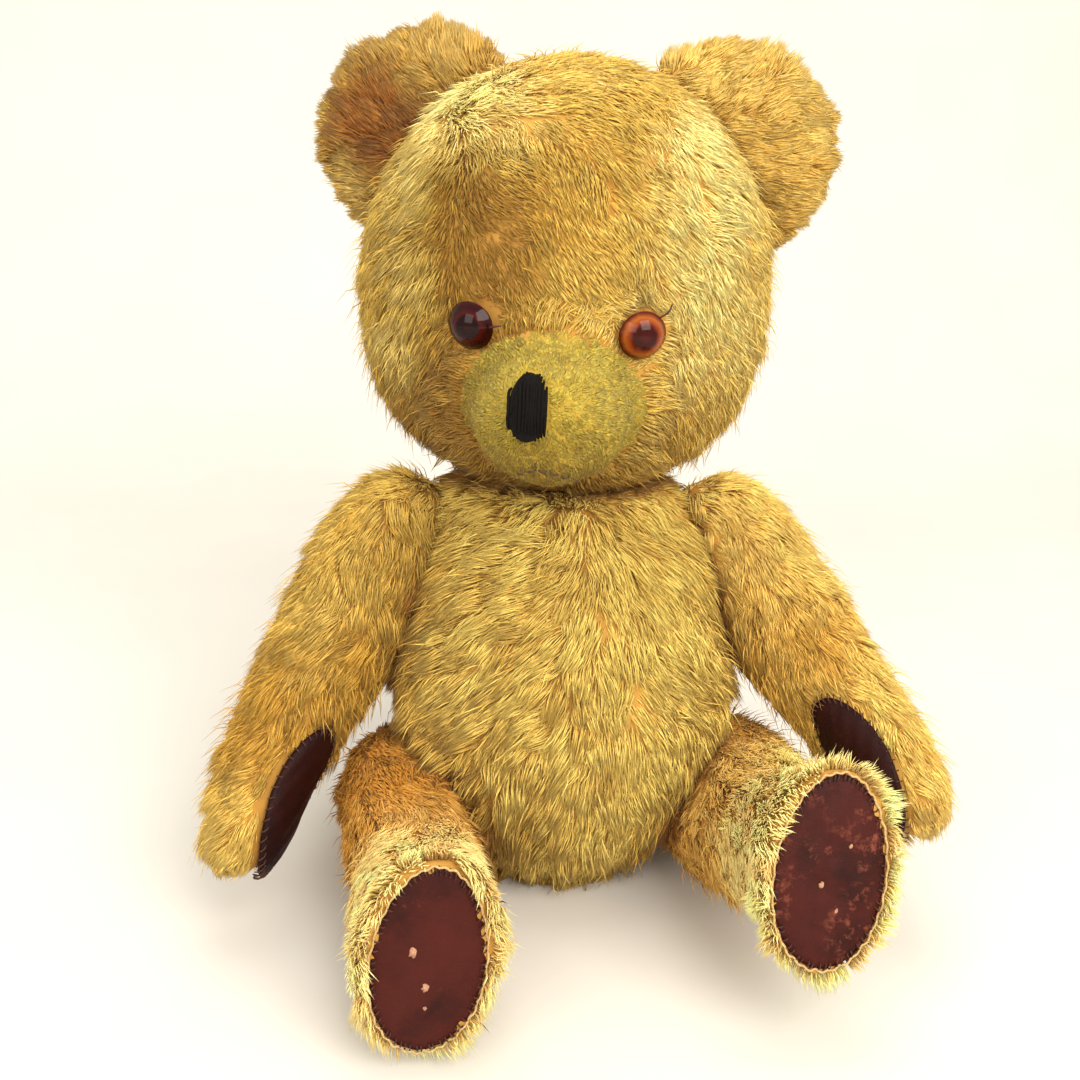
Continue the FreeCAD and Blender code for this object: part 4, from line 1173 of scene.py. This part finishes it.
def muzzle_field(P, N):
    p = HEAD.inn(P)
    x, y, z = p.T
    d = np.stack([x * 0.02 + 0.15, 0.55 + 0 * x, (z - 52) * 0.03 - 0.1], 1) + 0.35 * np.stack([noise(p, 7, 31), 0 * x, noise(p, 7, 32)], 1)
    length = 2.7 + 0.6 * noise(p, 6, 33)
    lift = 34 + 12 * noise(p, 7, 34)
    cl = 0.62 + 0 * x
    # Darker low on the muzzle at (0, -100, 30) and (0, -80, 24), and on its -x side at (-26, -80, 46): painted shade.
    A = [(0, -106, 58, 16, (202, 172, 74), 1), (0, -90, 66, 16, (206, 176, 80), 1), (0, -100, 30, 11, (158, 124, 40), 1.3),
         (-26, -80, 46, 10, (186, 152, 60), 1), (26, -80, 46, 12, (204, 172, 76), 1), (0, -80, 24, 12, (150, 114, 44), 1)]
    col = blend_colours(p, A)
    keep = muzzle_mask(p, 1.06).astype(float)
    ns = ((x - NX) / (NW - 0.6)) ** 2 + ((z - NZ) / (NH - 0.8)) ** 2
    keep[(ns < 1) & (y < -90)] = 0
    return HEAD.vec(d), length, lift, cl, col, keep


def ear_field(side):
    k = 1 if side == "left" else -1

    def field(P, N):
        fr = EAR[side]
        q = fr.inn(P)
        n = fr.ivec(N)
        x, y, z = q.T
        rho = np.hypot(x, z) / 40.5
        isfront = n[:, 1] < -0.1
        base = np.array([-k * 26.0, 0, -30.0])
        d = q - base
        d[:, 1] = 0
        d = unit(d)
        if k > 0:
            d = d + np.array([0.5, 0, -0.5])
        else:
            d = d + np.array([-0.15, 0, 0.05])
        rim = smooth(rho, 0.80, 0.98)
        d = d + 0.6 * rim[:, None] * unit(np.stack([x, 0 * x, z], 1))
        d = np.where(isfront[:, None], d, d * 0.6 + np.array([k * 0.3, 0, -0.5]))
        length = 9.5 + 1.6 * noise(q, 13, 41) - 2.0 * rim
        lift = 14 + 7 * noise(q, 9, 42) + 4 * rim
        cl = 0.50 + 0 * x
        if k < 0:
            A = [(-10, -4, 0, 13, (112, 52, 10), 2.6), (8, -4, -12, 12, (138, 76, 22), 2.0), (-30, -4, -14, 11, (186, 136, 58), 1),
                 (-6, -3, 30, 14, (208, 168, 84), 1.1), (-32, -2, 12, 12, (204, 162, 80), 1), (-20, -3, -32, 12, (206, 168, 92), 1),
                 (22, -3, 26, 14, (198, 154, 72), 1), (0, 8, 0, 30, (190, 148, 70), 0.8)]
        else:
            A = [(0, -4, 24, 18, (228, 188, 104), 1), (-12, -4, 0, 14, (206, 162, 76), 1), (16, -4, 4, 16, (222, 180, 98), 1),
                 (6, -4, -24, 14, (196, 148, 66), 1), (30, -2, -14, 12, (216, 172, 92), 1), (0, 8, 0, 30, (200, 158, 78), 0.8)]
        col = blend_colours(q, A)
        if k < 0:
            back_ = (n[:, 1] > 0.1)[:, None]
            plain = col.copy()
            col = stain(col, q, [(-22, -5, 4, 13, (152, 84, 16), 0.92), (-6, -5, -4, 12, (138, 72, 12), 0.9), (-16, -5, 18, 8, (164, 98, 28), 0.6),
                                 (-30, -5, -26, 9, (232, 200, 136), 0.6), (10, -5, 30, 9, (214, 178, 100), 0.4)], 560)
            col = np.where(back_, plain, col)
        else:
            col = stain(col, q, [(10, -5, -22, 9, (170, 116, 44), 0.6), (-14, -5, 26, 8, (236, 200, 126), 0.5), (30, -5, 10, 8, (226, 186, 108), 0.4)], 570)
        keep = np.ones(len(q))
        hp = HEAD.inn(P)
        rows = SECTIONS["head"]
        v_ = hermite([r[0] for r in rows], [r[1:] for r in rows], np.clip(hp[:, 2], 1, 161.4))
        inside = (hp[:, 0] / (v_[:, 0] - 2)) ** 2 + ((hp[:, 1] - v_[:, 2]) / (v_[:, 1] - 2)) ** 2 < 1
        keep[inside & (hp[:, 2] < 161)] = 0
        return fr.vec(d), length, lift, cl, col, keep
    return field


def arm_field(side):
    def field(P, N):
        fr, sg = ARM[side], ARM_SIGN[side]
        q = fr.inn(P)
        x, y, z = q.T
        fy = y * sg                                   # forward
        d = np.stack([1.0 + 0 * x, -0.30 * sg * (1 + 0 * x), 0.30 + 0 * x], 1)
        d += 0.35 * np.stack([0 * x, noise(q, 22, 51), noise(q, 22, 52)], 1)
        end = smooth(x, 112, 130)
        length = 12.0 + 2.0 * noise(q, 16, 53) - 4.5 * end - 1.5 * (1 - smooth(x, -30, -12))
        lift = 12 + 6 * noise(q, 11, 54) + 3 * end
        cl = 0.50 + 0 * x
        if side == "right":
            A = [(-10, 20, 30, 22, (203, 166, 86), 1), (30, 26, 36, 20, (196, 154, 72), 1), (60, 24, 42, 16, (188, 142, 56), 1),
                 (85, 20, 46, 14, (182, 134, 46), 1.1), (118, 16, 44, 16, (214, 176, 92), 1), (40, 24, 8, 12, (158, 98, 32), 1.3),
                 (80, 20, 18, 12, (164, 104, 36), 1.2), (0, 24, 6, 12, (168, 112, 44), 1.2), (50, -24, 34, 40, (184, 138, 58), 1)]
        else:
            A = [(-10, 20, 30, 22, (228, 186, 108), 1), (25, 26, 36, 20, (216, 174, 96), 1), (55, 24, 40, 16, (214, 166, 84), 1.1),
                 (80, 20, 46, 16, (222, 178, 98), 1), (110, 16, 46, 18, (208, 162, 82), 1), (40, 24, 8, 12, (190, 140, 60), 1),
                 (20, 26, 12, 12, (206, 162, 88), 1), (50, -24, 34, 40, (192, 146, 66), 1)]
        pa = np.stack([x, fy, z], 1)
        col = blend_colours(pa, A)
        if side == "right":
            col = stain(col, pa, [(78, 20, 40, 11, (188, 134, 46), 0.5), (30, 24, 38, 12, (216, 182, 108), 0.4), (112, 10, 44, 12, (216, 178, 100), 0.5)], 630)
        else:
            col = stain(col, pa, [(50, 26, 26, 10, (186, 126, 38), 0.55), (20, 24, 34, 12, (236, 196, 116), 0.5), (76, 14, 48, 14, (236, 192, 110), 0.6), (108, 14, 46, 14, (232, 190, 110), 0.6)], 640)
        keep = np.ones(len(q))
        keep[(z < 3.2) & (np.hypot(x, y) < 16)] = 0
        look = unit(np.array([-0.05, sg * 0.62, -0.78]))
        xd = unit(np.array([1.0, 0, 0]) - look * look[0])
        yd = np.cross(look, xd)
        r = q - np.array([103, sg * 3.5, 39.9])
        u, w, dep = r @ xd, r @ yd, r @ look
        e = np.sqrt((u / 26.6) ** 2 + (w / 14.2) ** 2)
        pad = (dep > 0)
        keep[(e < 0.97) & pad] = 0
        near = (1 - smooth(e, 1.0, 1.5)) * pad
        length = length * (1 - 0.3 * near)
        return fr.vec(d), length, lift, cl, col, keep
    return field


def leg_field(side):
    def field(P, N):
        fr, sg = LEG[side], LEG_SIGN[side]
        q = fr.inn(P)
        x, y, z = q.T
        ty = y * sg                                   # towards the toe side, upward
        k = 1 if side == "left" else -1
        long_ = 1.0 if side == "left" else 0.82
        d = np.stack([1.0 + 0 * x, -0.25 * sg * (1 + 0 * x), 0.22 + 0 * x], 1)
        d += 0.40 * np.stack([0 * x, noise(q, 20, 61), noise(q, 20, 62)], 1)
        foot = smooth(x, 66, 102)
        length = (11.5 + 2.0 * noise(q, 15, 63)) * long_ * (1 - 0.50 * foot)
        lift = 13 + 6 * noise(q, 11, 64) + 12 * foot
        cl = (0.58 if side == "left" else 0.40) + 0 * x
        if side == "right":
            A = [(0, 26, 18, 20, (176, 116, 42), 1.2), (28, 28, 16, 16, (172, 110, 38), 1.2), (30, 14, 42, 16, (156, 98, 30), 1),
                 (58, 26, 22, 14, (196, 148, 76), 1), (84, 30, 26, 16, (218, 182, 116), 1.1), (70, 0, 46, 16, (176, 128, 62), 1),
                 (98, 0, 44, 16, (212, 176, 108), 1), (98, 10, 8, 14, (214, 178, 112), 1), (98, -26, 27, 16, (206, 170, 104), 1),
                 (40, -26, 24, 30, (172, 122, 54), 1), (20, 20, 4, 10, (150, 90, 30), 1)]
        else:
            A = [(0, 26, 10, 14, (156, 92, 30), 1.3), (20, 28, 12, 12, (176, 116, 50), 1), (8, 24, 34, 16, (206, 164, 92), 1),
                 (38, 28, 26, 18, (214, 178, 108), 1), (64, 26, 26, 16, (216, 182, 112), 1), (90, 28, 27, 16, (220, 188, 120), 1),
                 (50, 0, 46, 20, (200, 158, 86), 1), (96, 0, 46, 16, (214, 178, 108), 1), (60, 10, 2, 18, (196, 150, 76), 1),
                 (96, 4, 6, 16, (210, 174, 104), 1), (40, -28, 24, 30, (180, 130, 62), 1), (96, -26, 26, 16, (202, 162, 92), 1)]
        pa = np.stack([x, ty, z], 1)
        col = blend_colours(pa, A)
        if side == "right":
            col = stain(col, pa, [(14, 24, 24, 16, (168, 108, 30), 0.7), (40, 26, 26, 12, (182, 128, 50), 0.5)], 650)
        else:
            col = stain(col, pa, [(6, 24, 16, 11, (160, 98, 28), 0.7), (34, 26, 30, 14, (228, 192, 116), 0.5)], 660)
        pale = (0.75 * smooth(x, 52, 84))[:, None]
        col = col * (1 - pale) + lin(226, 184, 128) * pale
        keep = np.ones(len(q))
        keep[(z < 3.2) & (np.hypot(x, y) < 16)] = 0
        tw = math.radians(-sg * TWIST[side])
        U = np.array([0, math.cos(tw), math.sin(tw)]) * sg
        W = np.array([0, -math.sin(tw), math.cos(tw)])
        r = q - np.array([SOLE_X, sg * 3.0, 27.0])
        u, w = r @ U, r @ W
        e = np.sqrt((u / 31.6) ** 2 + (w / 18.4) ** 2)
        keep[(x > SOLE_X - 4) & (e < 1.03)] = 0
        # a short felted ring stands out all round the sole
        rim = smooth(x, 96, 107)
        out_ = unit(np.stack([0 * x + 0.25, U[1] * u / 31.6 + W[1] * w / 20.0, U[2] * u / 31.6 + W[2] * w / 20.0], 1))
        d = d * (1 - 0.8 * rim)[:, None] + (np.array([0.8, 0, 0]) + 0.5 * out_) * rim[:, None]
        length = length * (1 - rim) + 8.6 * rim
        lift = lift + 16 * rim
        cl = cl * (1 - 0.5 * rim)
        col = col * (1 - 0.85 * rim)[:, None] + lin(228, 188, 134) * (0.85 * rim)[:, None]
        return fr.vec(d), length, lift, cl, col, keep
    return field


GAIN = np.array([1.15, 1.31, 1.26])           # fibres shade one another, so each is paler than the pile looks
TREES = {}
for key, o in SKIN.items():
    c_ = coords(o.data)
    TREES[key] = BVHTree.FromPolygons([Vector(p) for p in c_.tolist()], [tuple(q.vertices) for q in o.data.polygons])
NEIGHBOURS = {"torso": ["head", "arm_left", "arm_right", "leg_left", "leg_right"], "head": ["torso"],
              "arm_left": ["torso"], "arm_right": ["torso"], "leg_left": ["torso"], "leg_right": ["torso"],
              "ear_left": [], "ear_right": []}


def closeness(key, P):
    """Distance from each point to the nearest neighbouring skin, mm, up to 16."""
    out = np.full(len(P), 16.0)
    for k in NEIGHBOURS[key]:
        t = TREES[k]
        for i, p in enumerate(P):
            h = t.find_nearest(p, 16.0)
            if h[0] is not None and h[3] < out[i]:
                out[i] = h[3]
    return out


def kmeans(data, k, seed):
    r = np.random.default_rng(seed)
    c = data[r.choice(len(data), k, replace=False)]
    for _ in range(10):
        d = ((data[:, None] - c[None]) ** 2).sum(2)
        lab = d.argmin(1)
        for i in range(k):
            if (lab == i).any():
                c[i] = data[lab == i].mean(0)
    return c


def grow(name, skin, field, count, seed, body, slot_name, width=(0.36, 0.66), rings=2, clump_mm=6.0, per_piece=19000,
         stray=0.04, tones=22, root_shade=0.88, gain=1.0, spread=1.15, under=0.16):
    """Cover a skin with tapered three-sided fibres, drawn together in locks, split into pieces small enough to keep whole."""
    r = np.random.default_rng(seed)
    me = skin.data
    me.calc_loop_triangles()
    tri = np.zeros(len(me.loop_triangles) * 3, np.int32)
    me.loop_triangles.foreach_get("vertices", tri)
    tri = tri.reshape(-1, 3)
    V, NV = coords(me), normals(me)
    T = V[tri]
    area = 0.5 * np.linalg.norm(np.cross(T[:, 1] - T[:, 0], T[:, 2] - T[:, 0]), axis=1)
    cen, cn = T.mean(1), unit(NV[tri].mean(1))
    keep = field(cen, cn)[5]
    wgt = area * (keep > 0)
    total_area = wgt.sum()
    cum = np.cumsum(wgt / total_area)

    def sample(n):
        i = np.searchsorted(cum, (np.arange(n) + r.random(n)) / n).clip(0, len(tri) - 1)
        a, b = r.random(n), r.random(n)
        flip = a + b > 1
        a[flip], b[flip] = 1 - a[flip], 1 - b[flip]
        c = 1 - a - b
        P = T[i, 0] * a[:, None] + T[i, 1] * b[:, None] + T[i, 2] * c[:, None]
        N = unit(NV[tri[i, 0]] * a[:, None] + NV[tri[i, 1]] * b[:, None] + NV[tri[i, 2]] * c[:, None])
        return P, N

    P, N = sample(count)
    d, length, lift, cl, col, keep = field(P, N)
    key = skin.name[5:]
    gap = closeness(key, P)
    near_ = smooth(gap, 2.0, 13.0)
    length = length * (0.34 + 0.66 * near_)
    lift = lift * (0.22 + 0.78 * near_)
    # Painted shade where a neighbouring skin is close. In the crease between parts the pile goes brown, partly from
    # dye kept unfaded where the fur is covered and partly as painted shade. The last factor darkens all pile near a
    # neighbour a little more, also painted shade.
    crease_dye_and_shade = (0.78 * (1 - smooth(gap, 1.5, 7.0)))[:, None]
    col = (col * (1 - crease_dye_and_shade) + lin(116, 56, 20) * crease_dye_and_shade) * (0.92 + 0.08 * near_)[:, None]
    ok = keep > 0
    P, N, d, length, lift, cl, col = P[ok], N[ok], d[ok], length[ok], lift[ok], cl[ok], col[ok]
    n = len(P)
    # locks
    nc = max(50, int(total_area / (clump_mm * clump_mm)))
    CP, CN = sample(nc)
    cd, clen, clift, ccl, _, _ = field(CP, CN)
    cang = np.radians(24 * spread * noise(CP, 14, seed + 3) + r.normal(0, 9 * spread, nc))
    clen = clen * r.uniform(0.82, 1.2, nc)
    clift = clift + r.normal(0, 5, nc)
    cbright = np.clip(r.normal(1.0, 0.13, nc), 0.70, 1.34)
    cwarm = r.normal(0, 0.035, nc)
    kd = KDTree(nc)
    for i, p in enumerate(CP):
        kd.insert(p, i)
    kd.balance()
    near = np.array([kd.find(p)[1] for p in P])

    def tangent(dv, nv):
        return unit(dv - nv * (dv * nv).sum(1, keepdims=True))

    cd = tangent(cd, CN)
    cs = np.cross(CN, cd)
    cd = cd * np.cos(cang)[:, None] + cs * np.sin(cang)[:, None]
    d = tangent(d, N)
    ang = cang[near] + np.radians(r.normal(0, 7, n))
    s = np.cross(N, d)
    d = d * np.cos(ang)[:, None] + s * np.sin(ang)[:, None]
    s = np.cross(N, d)
    L = length * r.uniform(0.78, 1.12, n) * (0.35 + 0.65 * clen[near] / np.maximum(length, 1))
    lf = np.radians(lift * 0.5 + clift[near] * 0.5 + r.normal(0, 5, n))
    wild = r.random(n) < stray
    lf = lf + wild * np.radians(r.uniform(6, 24, n))
    L = L * (1 + wild * r.uniform(0, 0.25, n))
    strength = cl * r.uniform(0.75, 1.1, n) * (~wild)
    short = r.random(n) < under
    L = L * np.where(short, 0.48, 1.0)
    lf = lf + short * np.radians(r.uniform(8, 26, n)) * near_[ok]
    strength = strength * ~short
    # shape along each fibre
    ts = np.linspace(0, 1, rings + 1)
    lfc = np.radians(clift)
    pts = []
    root = P - N * 0.7
    croot = CP - CN * 0.7
    cur, ccur = root.copy(), croot.copy()
    bend = r.normal(0, 0.10, n)
    for i, t in enumerate(ts):
        if i:
            dt = ts[i] - ts[i - 1]
            tm = (ts[i] + ts[i - 1]) / 2
            a = lf * (2.0 - 1.7 * tm)
            dirn = d * np.cos(a)[:, None] + N * np.sin(a)[:, None] + s * (bend * tm * 2)[:, None]
            cur = cur + unit(dirn) * (L * dt)[:, None]
            ca = lfc * (2.0 - 1.7 * tm)
            cdir = cd * np.cos(ca)[:, None] + CN * np.sin(ca)[:, None]
            ccur = ccur + unit(cdir) * (clen * dt)[:, None]
        pull = (strength * t ** 1.4)[:, None]
        pts.append(cur * (1 - pull) + (ccur[near] + (root - croot[near]) * 0.34) * pull if i else cur)
    pts = np.stack(pts, 1)                            # n, rings + 1, 3
    # nothing goes under the floor
    pts[..., 2] = np.maximum(pts[..., 2], 0.35)
    # cross-sections
    w = r.uniform(width[0], width[1], n)
    tang = unit(np.gradient(pts, axis=1))
    side_ = unit(np.cross(tang, N[:, None, :]))
    up_ = np.cross(side_, tang)
    prof = np.array([1.0, 1.0, 0.78, 0.55, 0.3])[:rings] if rings > 2 else np.array([1.0, 0.88])
    k3 = []
    for i in range(rings):
        rad = (w * prof[i] * 0.5)[:, None]
        ph = (0.5 * math.pi, 0.5 * math.pi + 2.0944, 0.5 * math.pi + 4.18879)
        for a in ph:
            k3.append(pts[:, i] + side_[:, i] * rad * math.cos(a) * 1.15 + up_[:, i] * rad * math.sin(a) * 0.7)
    k3.append(pts[:, rings])
    verts = np.stack(k3, 1)                           # n, 3 rings + 1, 3
    verts[..., 2] = np.maximum(verts[..., 2], 0.2)
    nvert = 3 * rings + 1
    loops, starts, totals, seg = [], [], [], []
    pos = 0
    quads = []
    quads.append(((2, 1, 0), 0))
    for i in range(rings - 1):
        for j in range(3):
            k = (j + 1) % 3
            quads.append(((i * 3 + j, i * 3 + k, (i + 1) * 3 + k, (i + 1) * 3 + j), i))
    for j in range(3):
        k = (j + 1) % 3
        quads.append((((rings - 1) * 3 + j, (rings - 1) * 3 + k, 3 * rings), rings - 1))
    pat = np.concatenate([np.array(q[0]) for q in quads])
    psz = np.array([len(q[0]) for q in quads])
    pseg = np.array([q[1] for q in quads])
    nl, npoly = len(pat), len(psz)
    # colours: zone x lock x fibre x along the fibre
    fib = np.clip(r.normal(1.0, 0.08, n), 0.7, 1.3)
    tt = (np.arange(rings) + 0.6) / rings
    # Darker towards the root: painted shade deep in the pile between the fibres.
    along = root_shade + (1.06 - root_shade) * np.clip(tt, 0, 1) ** 0.8
    base = col * (cbright[near] * fib)[:, None] * GAIN * np.asarray(gain)
    warm = cwarm[near] + r.normal(0, 0.02, n)
    base = base * np.stack([1 + 0.4 * warm, 1 - 0.6 * warm, 1 - 2.2 * warm], 1)
    base[short] *= 0.94
    pale = r.random(n) < 0.10
    base[pale] = base[pale] * 1.12 + np.array([0.05, 0.045, 0.03])
    face_col = base[:, None, :] * along[None, :, None]
    # roots are warmer and deeper: partly dye kept there, partly painted shade, the saturated shade inside the pile
    root_dye_and_shade = (1 - tt)[None, :, None] * 0.80
    face_col = face_col * (1 - root_dye_and_shade * np.array([0.05, 0.24, 0.62]))
    face_col = np.clip(face_col, 0.002, 0.86)
    flat = np.cbrt(face_col.reshape(-1, 3))
    pick = r.choice(len(flat), min(len(flat), 9000), replace=False)
    pal = kmeans(flat[pick].copy(), tones, seed)
    lab = np.zeros(len(flat), np.int32)
    for a in range(0, len(flat), 40000):
        b = flat[a:a + 40000]
        lab[a:a + 40000] = ((b[:, None] - pal[None]) ** 2).sum(2).argmin(1)
    lab = lab.reshape(n, rings)
    mats = []
    for i in range(tones):
        c = pal[i] ** 3
        m = bpy.data.materials.new("%s_tone_%02d" % (name, i))
        m.use_nodes = True
        b = m.node_tree.nodes["Principled BSDF"]
        b.inputs["Base Color"].default_value = (*[float(x) for x in c], 1)
        b.inputs["Roughness"].default_value = 0.62
        b.inputs["Sheen Weight"].default_value = 0.12
        b.inputs["Sheen Tint"].default_value = (0.95, 0.78, 0.5, 1)
        b.inputs["Sheen Roughness"].default_value = 0.5
        b.inputs["Specular IOR Level"].default_value = 0.24
        mats.append(m)
    pieces = max(1, math.ceil(n / per_piece))
    # split so that every piece keeps to one patch of the body
    order = np.argsort(P @ unit(np.array([0.2, 0.5, 1.0])))
    made = []
    for q in range(pieces):
        idx = order[q * n // pieces:(q + 1) * n // pieces]
        m_ = len(idx)
        me2 = bpy.data.meshes.new("%s_%02d" % (name, q + 1))
        me2.vertices.add(m_ * nvert)
        me2.vertices.foreach_set("co", (verts[idx] * MM).astype(np.float32).ravel())
        me2.loops.add(m_ * nl)
        me2.loops.foreach_set("vertex_index", (pat[None] + np.arange(m_)[:, None] * nvert).astype(np.int32).ravel())
        me2.polygons.add(m_ * npoly)
        st = np.concatenate([[0], np.cumsum(psz)[:-1]])
        me2.polygons.foreach_set("loop_start", (st[None] + np.arange(m_)[:, None] * nl).astype(np.int32).ravel())
        me2.polygons.foreach_set("loop_total", np.tile(psz, m_).astype(np.int32))
        me2.polygons.foreach_set("material_index", lab[idx][:, pseg].astype(np.int32).ravel())
        me2.polygons.foreach_set("use_smooth", np.ones(m_ * npoly, bool))
        me2.update(calc_edges=True)
        for m in mats:
            me2.materials.append(m)
        o = bpy.data.objects.new("%s_%02d" % (name, q + 1), me2)
        scene.collection.objects.link(o)
        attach(o, body)
        made.append(o)
    return made


K = 1.0
grow("pile_torso", SKIN["torso"], torso_field, int(68000 * K), 101, "torso", "plush", clump_mm=7.0)
grow("pile_head", SKIN["head"], head_field, int(92000 * K), 102, "head", "plush", clump_mm=5.5)
grow("pile_muzzle", SKIN["head"], muzzle_field, int(26000 * K), 103, "head", "muzzle_plush", width=(0.34, 0.62), rings=2,
     clump_mm=2.6, stray=0.02, tones=16, root_shade=0.80, spread=1.6, under=0.0, gain=(0.66, 0.67, 0.50))
for i, s in enumerate(S2):
    grow("pile_ear_" + s, SKIN["ear_" + s], ear_field(s), int(24000 * K), 110 + i, "head", "ear_plush", clump_mm=5.0,
         gain=(0.84, 0.82, 0.78))
    grow("pile_arm_" + s, SKIN["arm_" + s], arm_field(s), int(40000 * K), 120 + i, "arm_" + s, "plush")
    grow("pile_leg_" + s, SKIN["leg_" + s], leg_field(s), int(37000 * K), 130 + i, "leg_" + s, "plush", clump_mm=5.5,
         gain=(1.16, 1.16, 1.12))

# ---------------------------------------------------------------------------
# Stage, light and camera
# ---------------------------------------------------------------------------
prof = [(-1.6, 0.0), (0.45, 0.0)]
for a in np.linspace(0, math.pi / 2, 12)[1:]:
    prof.append((0.45 + 0.35 * math.sin(a), 0.35 - 0.35 * math.cos(a)))
prof.append((0.8, 2.2))
vs, fs = [], []
for x in (-2.2, 2.2):
    for y, z in prof:
        vs.append((x * 1000, y * 1000, z * 1000))
m = len(prof)
for i in range(m - 1):
    fs.append((i, i + 1, m + i + 1, m + i))
floor = new_object("studio_sweep", np.array(vs), [tuple(reversed(q)) for q in fs])


def paper(nt, b):
    n1 = tex(nt, "ShaderNodeTexNoise", 9.0, Detail=3.0)
    r = ramp(nt, n1.outputs["Fac"], [(0.3, (0.66, 0.635, 0.585)), (0.7, (0.69, 0.665, 0.615))])
    nt.links.new(r.outputs["Color"], b.inputs["Base Color"])


floor.data.materials.append(node_material("pale_sweep", paper, Roughness=0.85))

world = bpy.data.worlds.new("studio")
scene.world = world
world.use_nodes = True
world.node_tree.nodes["Background"].inputs["Color"].default_value = (1.0, 0.965, 0.91, 1)
world.node_tree.nodes["Background"].inputs["Strength"].default_value = 0.85


def area(name, loc, target, size, power, colour):
    l = bpy.data.lights.new(name, "AREA")
    l.shape = "SQUARE"
    l.size = size
    l.energy = power
    l.color = colour
    o = bpy.data.objects.new(name, l)
    o.location = loc
    o.rotation_mode = "QUATERNION"
    o.rotation_quaternion = (Vector(target) - Vector(loc)).to_track_quat("-Z", "Y")
    scene.collection.objects.link(o)
    return o


area("key", (0.42, -1.0, 1.0), (0, 0, 0.15), 0.95, 22.0, (1.0, 0.955, 0.88))
area("fill", (-0.75, -0.95, 0.7), (0, 0, 0.15), 0.8, 8.0, (1.0, 0.96, 0.90))
area("top", (0.0, 0.25, 1.4), (0, 0, 0.15), 0.8, 6.0, (1.0, 0.97, 0.92))

yaw = math.radians(7.5)
ct = np.array([-9 - 63.3, -480.8, 133.0])
direction = TORSO.vec([math.sin(yaw), math.cos(yaw), 0])
right = TORSO.vec([math.cos(yaw), -math.sin(yaw), 0])
up = TORSO.vec([0, 0, 1.0])
cam_data = bpy.data.cameras.new("camera")
cam_data.sensor_width = 36.0
cam_data.lens = 40.43
cam_data.clip_start = 0.01
cam = bpy.data.objects.new("camera", cam_data)
M = Matrix.Identity(4)
for r_ in range(3):
    M[r_][0], M[r_][1], M[r_][2], M[r_][3] = float(right[r_]), float(up[r_]), float(-direction[r_]), float(TORSO.out(ct)[r_] * MM)
cam.matrix_world = M
scene.collection.objects.link(cam)
scene.camera = cam
scene.view_settings.view_transform = "Standard"
scene.view_settings.look = "None"
